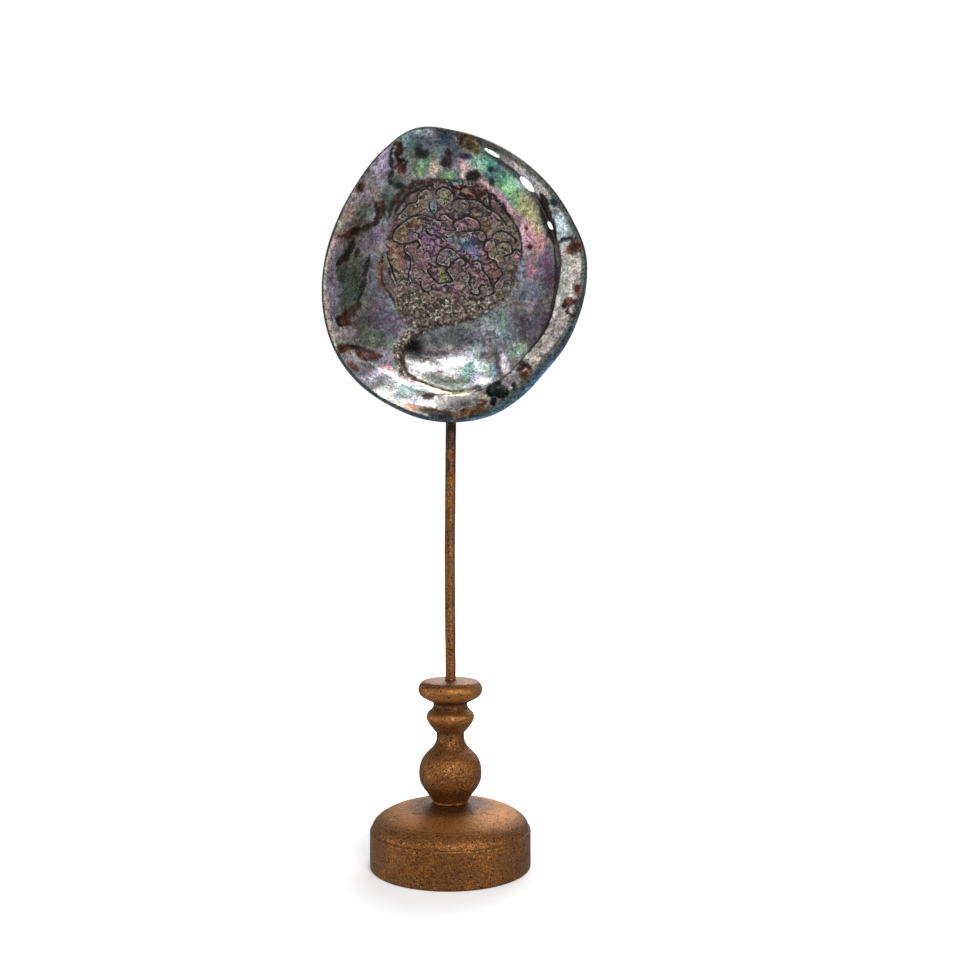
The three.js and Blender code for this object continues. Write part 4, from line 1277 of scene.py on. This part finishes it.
def rod_piece():
    bm = bmesh.new()
    bmesh.ops.create_cone(
        bm, cap_ends=True, segments=36, radius1=ROD_RADIUS * MM, radius2=ROD_RADIUS * MM,
        depth=(ROD_TOP - ROD_FOOT) * MM, matrix=Matrix.Translation((0, 0, (ROD_TOP + ROD_FOOT) / 2 * MM)),
    )
    sides = [e for e in bm.edges if abs(e.verts[0].co.z - e.verts[1].co.z) > 0.01]
    bmesh.ops.subdivide_edges(bm, edges=sides, cuts=140, use_grid_fill=True)
    slope = math.radians(CUT_SLOPE)
    bmesh.ops.bisect_plane(
        bm, geom=bm.verts[:] + bm.edges[:] + bm.faces[:], plane_co=(0, 0, CUT_HEIGHT * MM),
        plane_no=(0, -math.sin(slope), math.cos(slope)), clear_outer=True,
    )
    open_edges = [e for e in bm.edges if e.is_boundary]
    bmesh.ops.holes_fill(bm, edges=open_edges, sides=0)
    bmesh.ops.recalc_face_normals(bm, faces=bm.faces)
    thing = object_from(bm, "slim_rod")
    points = coords_of(thing.data) / MM
    heights, shifts = zip(*ROD_BOW)
    angle = np.arctan2(points[:, 1], points[:, 0])
    lumps = 0.06 * clouds(points[:, 2], angle * 2.5, 3.0, 231) * np.abs(np.sin(angle / 2 + 0.8))
    rough_top = 0.10 * ease(196, 208, points[:, 2]) * clouds(points[:, 2] * 2, angle * 5, 2.0, 233)
    grow = np.minimum(1.0, 1 + (lumps + rough_top - 0.03) / ROD_RADIUS)
    points[:, 0] = points[:, 0] * grow + np.interp(points[:, 2], heights, shifts)
    points[:, 1] *= grow
    set_coords(thing.data, points * MM)
    thing.data.polygons.foreach_set("use_smooth", [len(p.vertices) == 4 for p in thing.data.polygons])
    return thing


rod = rod_piece()
print("rod:", len(rod.data.polygons), "faces")

# %% The epoxy pad
PAD_PLACE = (0.4, 1.2, 218.6)
PAD_SIZE = (9.0, 9.4, 4.8)
PAD_SLOPE = 45


def pad_piece():
    bm = bmesh.new()
    bmesh.ops.create_icosphere(bm, subdivisions=5, radius=1.0)
    lean = Matrix.Rotation(math.radians(PAD_SLOPE), 4, "X")
    size = Matrix.Diagonal((*PAD_SIZE, 1)) @ Matrix.Scale(MM, 4)
    bmesh.ops.transform(bm, matrix=Matrix.Translation(Vector(PAD_PLACE) * MM) @ lean @ size, verts=bm.verts)
    thing = object_from(bm, "epoxy_bond")
    points = coords_of(thing.data) / MM
    lump = 1 - 0.035 * (1 + clouds(points[:, 0] + points[:, 1], points[:, 2], 4, 241))
    centre = np.array(PAD_PLACE)
    points = centre + (points - centre) * lump[:, None]
    u, v = points[:, 0] - POLE_X, points[:, 2] - POLE_Z
    away = np.hypot(u, v)
    reach = around(SILHOUETTE, np.arctan2(v, u) / (2 * math.pi)) + GAP
    wall = RIM_Y + (OUTER_DEPTH + GAP) * np.sqrt(np.clip(1 - (away / reach) ** 2, 0, 1))
    wall = wall + KNOB_DEPTH * swelling(u, v, **KNOB)
    sunk = (away < reach) & (points[:, 1] < wall)
    points[sunk, 1] = wall[sunk]
    set_coords(thing.data, points * MM)
    shade_smooth(thing)
    return thing


pad = pad_piece()
print("epoxy:", len(pad.data.polygons), "faces")

# %% [markdown]
# ## Building materials from nodes
# A material is a small network. To keep each recipe readable, one helper adds a node and sets or links its
# sockets by name, and another mixes two colours. Patterns read Object coordinates, which are metres here,
# so a noise with a scale of 1000 has grains of about a millimetre.

# %% Node helpers
def plug(node, **sockets):
    """Sets or links a node's sockets. A name has _ for each space, or is in0, in1 ... by its place."""
    for name, value in sockets.items():
        by_place = name.startswith("in") and name[2:].isdigit()
        socket = node.inputs[int(name[2:])] if by_place else node.inputs[name.replace("_", " ")]
        if isinstance(value, bpy.types.NodeSocket):
            node.id_data.links.new(value, socket)
        else:
            socket.default_value = value


def add(tree, kind, output=0, settings=None, **sockets):
    """Adds a shader node, plugs its sockets in and gives back one of its outputs."""
    made = tree.nodes.new("ShaderNode" + kind)
    for name, value in (settings or {}).items():
        setattr(made, name, value)
    plug(made, **sockets)
    return made.outputs[output]


def tree_of(*values):
    """The network that the first socket among the values belongs to."""
    return next(value.id_data for value in values if isinstance(value, bpy.types.NodeSocket))


def blend(amount, low, high, how="MIX"):
    settings = {"data_type": "RGBA", "blend_type": how}
    return add(tree_of(amount, low, high), "Mix", 2, settings, in0=amount, in6=low, in7=high)


def maths(how, a, b=0.0):
    return add(tree_of(a, b), "Math", 0, {"operation": how}, in0=a, in1=b)


def times(a, b):
    return maths("MULTIPLY", a, b)


def plus(a, b):
    return maths("ADD", a, b)


def minus(a, b):
    return maths("SUBTRACT", a, b)


def larger(a, b):
    return maths("MAXIMUM", a, b)


def span(value, low, high, to_low=0.0, to_high=1.0):
    """Stretches low..high of a value to to_low..to_high, clamped, with eased ends."""
    return add(
        tree_of(value), "MapRange", 0, {"interpolation_type": "SMOOTHSTEP"},
        in0=value, in1=low, in2=high, in3=to_low, in4=to_high,
    )


def attribute(tree, name, colour=False):
    return add(tree, "Attribute", 0 if colour else 2, {"attribute_name": name})


def tone(red, green, blue):
    return (*[float(c) for c in linear(red, green, blue)], 1.0)


def noise(place, scale, detail=3.0, rough=0.55, distortion=0.0):
    return add(
        tree_of(place), "TexNoise", 0, None, Vector=place, Scale=scale, Detail=detail, Roughness=rough,
        Distortion=distortion,
    )


def new_material(name):
    """A material with an empty Principled surface: the tree, the surface node and the place."""
    material = bpy.data.materials.new(name)
    material.use_nodes = True
    tree = material.node_tree
    surface = tree.nodes["Principled BSDF"]
    place = add(tree, "TexCoord", 3)
    return material, tree, surface, place


# %% [markdown]
# ## Polished nacre
# The tint, the scar, the cracks and the scales come from the mesh. The lines themselves are drawn here, from
# the distance to the nearest crack or scale edge, because a shader is sharper than the mesh's points: a
# dark seam with a painted highlight on the raised lip beside it. Smaller crinkles in the scar come from a
# cell pattern, bent by noise, and grit is a finer cell pattern with bright and dark grains. Nacre reflects
# light in its own colour, so the surface is partly metallic, under a thin clear gloss.

# %% Lines of the scar
GROWTH_LINES = 420.0  # about 67 lines from the spire's tip to the rim
PALE_LIP_HIGHLIGHT, SEAM_DARK = (234, 218, 202), (26, 16, 16)


def scar_lines(tree, place, scar):
    """Dark seams, a painted highlight on the lips beside them, and the bent place that the cell patterns
    read.
    """
    names = ("scale_edge", "scaly", "crack_side", "crack_near")
    edge, scaly, side, near = (attribute(tree, name) for name in names)
    ripple = times(noise(place, 1100, 2, 0.5), 0.35)
    ripple = plus(ripple, span(noise(place, 190, 2, 0.6), 0.35, 0.65, -0.2, 0.16))
    broken = span(noise(place, 170, 2, 0.5), 0.36, 0.5, 0.15, 1.0)
    on_scale = times(scaly, broken)
    scale_wobble = plus(edge, ripple)
    scale_seam = times(span(scale_wobble, 0.70, 0.35), on_scale)
    scale_lip_highlight = times(span(scale_wobble, 1.2, 0.8), on_scale)
    crack_wobble = plus(maths("ABSOLUTE", side), ripple)
    in_reach = times(span(near, 1.3, 0.9), scar)
    crack_seam = times(span(crack_wobble, 0.70, 0.42), in_reach)
    on_right = span(side, -0.45, -0.6)
    crack_lip_highlight = times(span(crack_wobble, 1.25, 0.95), on_right)
    crack_lip_highlight = times(times(crack_lip_highlight, broken), in_reach)
    drift = noise(place, 260, 3, 0.6)
    sideways = times(drift, 0.012)
    upwards = times(noise(place, 430, 2, 0.5), 0.005)
    shift = add(tree, "CombineXYZ", 0, None, X=sideways, Z=upwards)
    bent = add(tree, "VectorMath", 0, {"operation": "ADD"}, in0=place, in1=shift)
    crinkle = add(tree, "TexVoronoi", 0, {"feature": "DISTANCE_TO_EDGE"}, Vector=bent, Scale=250.0)
    in_scar = times(broken, scar)
    fine_seam = times(span(crinkle, 0.11, 0.05), in_scar)
    beside_seam = maths("ABSOLUTE", minus(crinkle, 0.2))
    fine_lip_highlight = times(span(beside_seam, 0.07, 0.02), in_scar)
    seam = larger(times(scale_seam, 0.75), crack_seam)
    seam = larger(seam, times(fine_seam, 0.8))
    lip_highlight = larger(times(scale_lip_highlight, 0.6), crack_lip_highlight)
    lip_highlight = larger(lip_highlight, times(fine_lip_highlight, 0.45))
    return seam, lip_highlight, bent


# %% Grains of grit
def grit_grains(tree, place, bent):
    """The colour of the grains, and the cell pattern that raises them."""
    grains = add(tree, "TexVoronoi", 0, {"feature": "F1"}, Vector=bent, Scale=620.0)
    grain_tone = noise(place, 640, 2, 0.6)
    grain_colour = blend(span(grain_tone, 0.35, 0.65), tone(36, 28, 24), tone(176, 158, 140))
    grain_colour = blend(span(grains, 0.45, 0.75, 0.0, 0.85), grain_colour, tone(24, 17, 13))
    glitter = times(span(grain_tone, 0.53, 0.59), span(grains, 0.55, 0.35))
    grain_colour = blend(glitter, grain_colour, tone(255, 252, 244))
    return grain_colour, grains


# %% Build the nacre
def nacre_material():
    material, tree, surface, place = new_material("polished_nacre")
    # The tint read here holds painted highlight and painted shade as well as the nacre's colours.
    tint = attribute(tree, "nacre_and_painted_light", colour=True)
    names = ("scar", "grit", "outside", "dull_blot_and_corner_shade")
    scar, grit, back, dull_blot_and_corner_shade = (attribute(tree, name) for name in names)

    mottle = noise(place, 420, 5, 0.62, 0.6)
    shade = span(mottle, 0.30, 0.70, 0.40, 1.58)
    colour = blend(1.0, tint, shade, "MULTIPLY")
    specks = noise(place, 1300, 3, 0.6)
    colour = blend(1.0, colour, span(specks, 0.32, 0.68, 0.45, 1.55), "MULTIPLY")
    sparkle = noise(place, 1500, 2, 0.5)
    colour = blend(span(sparkle, 0.60, 0.74, 0.0, 0.22), colour, tone(235, 238, 240))

    seam, lip_highlight, bent = scar_lines(tree, place, scar)
    # Painted highlight: the raised lips beside the cracks, scale edges and crinkles are painted pale.
    colour = blend(times(lip_highlight, 0.82), colour, tone(*PALE_LIP_HIGHLIGHT))
    colour = blend(times(seam, 0.95), colour, tone(*SEAM_DARK))

    grain_colour, grains = grit_grains(tree, place, bent)
    strewn = span(noise(place, 230, 3, 0.6), 0.36, 0.56, 0.25, 0.84)
    colour = blend(times(grit, strewn), colour, grain_colour)

    rough_patch = noise(place, 260, 3, 0.5)
    rough = span(rough_patch, 0.3, 0.7, 0.20, 0.34)
    rough = plus(rough, times(scar, 0.2))
    rough = plus(rough, times(grit, 0.10))
    rough = plus(rough, times(dull_blot_and_corner_shade, 0.30))

    smooth_bump = times(noise(place, 330, 4, 0.6), 0.35)
    scar_bump = minus(times(lip_highlight, 0.5), seam)
    fine_bump = times(times(noise(place, 1600, 3, 0.6), 0.8), scar)
    grit_bump = times(minus(1.0, grains), times(grit, 2.2))
    height = plus(plus(smooth_bump, scar_bump), plus(fine_bump, grit_bump))
    grown = plus(attribute(tree, "growth"), times(noise(place, 70, 3), 0.03))
    lines = maths("SINE", times(grown, GROWTH_LINES))
    height = plus(height, times(times(lines, back), 0.12))
    bump = add(tree, "Bump", 0, None, Strength=0.55, Distance=0.00028, Height=height)

    plug(surface, Base_Color=colour, Roughness=rough, Normal=bump, Coat_Roughness=0.12, IOR=1.6)
    # The blot and the painted corner shade are more metallic and less coated, so they render darker.
    plug(surface, Metallic=span(dull_blot_and_corner_shade, 0.0, 1.0, 0.5, 1.0), Coat_Weight=span(dull_blot_and_corner_shade, 0.0, 1.0, 0.4, 0.05))
    return material


nacre = nacre_material()
print(len(nacre.node_tree.nodes), "nodes in the nacre")

# %% [markdown]
# ## Bronze-gold paint
# The stand is brushed with a bronze-gold paint over a dark ground. The flakes stand out as bright specks,
# the dark ground shows through as pinholes and rubbed patches, and the coves stay darker than the ridges.

# %% The paint materials
def rod_top(place, colour):
    """The dark rough top of the rod, and dark flecks that thin out below it. Heights are in metres."""
    height = add(tree_of(place), "SeparateXYZ", 2, None, Vector=place)
    colour = blend(span(height, 0.196, 0.207, 0.0, 0.8), colour, tone(46, 32, 26))
    flecks = times(span(noise(place, 620, 3, 0.7), 0.50, 0.58), span(height, 0.172, 0.196))
    return blend(times(flecks, 0.85), colour, tone(28, 22, 20))


def gilt_material(name, darkness, turned):
    material, tree, surface, place = new_material(name)
    grain = noise(place, 1500, 4, 0.68)
    broad = noise(place, 95, 4, 0.6)
    colour = blend(span(grain, 0.34, 0.56), tone(52, 31, 15), tone(146, 92, 40))
    colour = blend(span(grain, 0.56, 0.72), colour, tone(236, 176, 98))
    colour = blend(span(broad, 0.35, 0.7, 0.0, 0.55), colour, tone(98, 60, 28))
    if turned:
        proud = attribute(tree, "proud")
        colour = blend(span(proud, 0.50, 0.22, 0.0, 0.62), colour, tone(64, 36, 16))
        colour = blend(span(proud, 0.64, 0.95, 0.0, 0.40), colour, tone(226, 152, 76))
    cells = add(tree, "TexVoronoi", 0, {"feature": "F1"}, Vector=place, Scale=620.0, Randomness=1.0)
    patch = noise(place, 240, 3, 0.6)
    pinholes = times(span(cells, 0.36, 0.18), span(patch, 0.38, 0.54))
    colour = blend(times(pinholes, 0.85), colour, tone(34, 20, 12))
    colour = blend(darkness, colour, tone(40, 25, 16))
    if not turned:
        colour = rod_top(place, colour)
    rough = span(grain, 0.3, 0.7, 0.50, 0.30)
    height = minus(grain, times(pinholes, 0.8))
    bump = add(tree, "Bump", 0, None, Strength=0.8, Distance=0.00034, Height=height)
    plug(surface, Base_Color=colour, Roughness=rough, Normal=bump, Metallic=0.72)
    return material


gilt_wood = gilt_material("bronze_gold_paint", 0.0, turned=True)
gilt_metal = gilt_material("bronze_gold_rod", 0.2, turned=False)
print(len(gilt_wood.node_tree.nodes), "nodes in the paint of the wood")


# %% The epoxy material
def epoxy_material():
    material, tree, surface, place = new_material("painted_epoxy")
    broad = noise(place, 300, 4, 0.6)
    fine = noise(place, 1700, 3, 0.6)
    colour = blend(span(broad, 0.35, 0.65), tone(52, 36, 26), tone(104, 70, 40))
    colour = blend(span(fine, 0.58, 0.72, 0.0, 0.6), colour, tone(176, 128, 72))
    bump = add(tree, "Bump", 0, None, Strength=0.6, Distance=0.0003, Height=fine)
    rough = span(broad, 0.3, 0.7, 0.35, 0.6)
    plug(surface, Base_Color=colour, Roughness=rough, Normal=bump, Metallic=0.3)
    return material


epoxy = epoxy_material()

# %% [markdown]
# ## Hand the pieces to the construction model
# Each fine piece stands for one solid of the construction model, rides on its body and takes its material.

# %% Give each piece its material and its body, and hide the solid that it stands for
HAND_OVER = [
    (shell, "shell", "nacre", nacre),
    (rod, "rod", "gilt_metal", gilt_metal),
    (spindle, "spindle", "gilt_wood", gilt_wood),
    (base, "base", "gilt_wood", gilt_wood),
    (pad, "epoxy_pad", "epoxy", epoxy),
]
for piece, node, slot, material in HAND_OVER:
    piece.data.materials.clear()
    piece.data.materials.append(material)
    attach(piece, "root")
    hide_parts(node)
print(len(HAND_OVER), "pieces handed over")

# %% [markdown]
# ## A white studio
# Nacre is half a mirror, so what surrounds it matters as much as what lights it. Two boxes light only the
# shell: one overhead, whose reflection whitens the lower bowl, and a wide one in front that fills without
# showing in a reflection. Three more light only the stand and the floor, one from the front and one low
# at each side, and a box behind lights everything. The world is white to the camera and dim to the rest, so
# the upper bowl stays dark. The floor is left out of the reflections. It glows for the camera alone, and
# less near the stand, so that the soft shadow there still shows.

# %% Floor and world
FLOOR_SIZE = 6.0  # metres from the middle to a side
AMBIENT, WHITE = 0.32, 1.05
bm = bmesh.new()
bmesh.ops.create_grid(bm, x_segments=8, y_segments=8, size=FLOOR_SIZE)
floor = object_from(bm, "studio_floor")
floor_material, tree, surface, place = new_material("white_floor")
from_stand = add(tree, "VectorMath", 1, {"operation": "LENGTH"}, in0=place)
glow = times(span(from_stand, 0.05, 0.2, 0.3, 1.0), add(tree, "LightPath", 0))
plug(surface, Base_Color=(0.9, 0.9, 0.91, 1), Roughness=0.9, Specular_IOR_Level=0.1)
plug(surface, Emission_Color=(1, 1, 1, 1), Emission_Strength=glow)
floor.data.materials.append(floor_material)
floor.visible_glossy = False

world = bpy.data.worlds.new("studio")
bpy.context.scene.world = world
world.use_nodes = True
tree = world.node_tree
ambient = tree.nodes["Background"]
plug(ambient, Color=(1.0, 0.99, 0.98, 1), Strength=AMBIENT)
white = add(tree, "Background", 0, None, Color=(1, 1, 1, 1), Strength=WHITE)
either = add(tree, "MixShader", 0, None, in0=add(tree, "LightPath", 0), in1=ambient.outputs[0], in2=white)
plug(tree.nodes["World Output"], Surface=either)
print("floor:", 2 * FLOOR_SIZE, "m wide")

# %% Soft boxes
def soft_box(name, place, aim, size, watts, mirrored=True, only=None):
    """An area light. One that isn't mirrored shows in no reflection. It may light only some pieces."""
    lamp = bpy.data.lights.new(name, "AREA")
    lamp.shape = "RECTANGLE"
    lamp.size, lamp.size_y = size[0] * MM, size[1] * MM
    lamp.energy = watts
    thing = bpy.data.objects.new(name, lamp)
    thing.location = Vector(place) * MM
    thing.rotation_euler = (Vector(aim) - Vector(place)).to_track_quat("-Z", "Y").to_euler()
    thing.visible_glossy = mirrored
    bpy.context.scene.collection.objects.link(thing)
    if only:
        lit = bpy.data.collections.new(name + "_lights")
        for piece in only:
            lit.objects.link(piece)
        thing.light_linking.receiver_collection = lit


stand = [rod, spindle, base, pad, floor]
soft_box("overhead_box", (60, -115, 680), (0, 0, 240), (520, 140), 1.2, only=[shell])
soft_box("shell_fill", (60, -760, 420), (0, 0, 270), (520, 400), 3.6, mirrored=False, only=[shell])
soft_box("stand_box", (240, -770, 430), (0, 0, 60), (300, 240), 4.7, only=stand)
soft_box("left_low_box", (-600, -180, 60), (0, 0, 60), (160, 220), 1.2, only=stand)
soft_box("right_low_box", (560, -330, 40), (0, 0, 120), (200, 240), 1.0, only=stand)
soft_box("back_box", (150, 700, 480), (0, 0, 200), (600, 420), 2.2)
bpy.context.scene.view_settings.view_transform = "Standard"
print("lights:", len(bpy.data.lights))
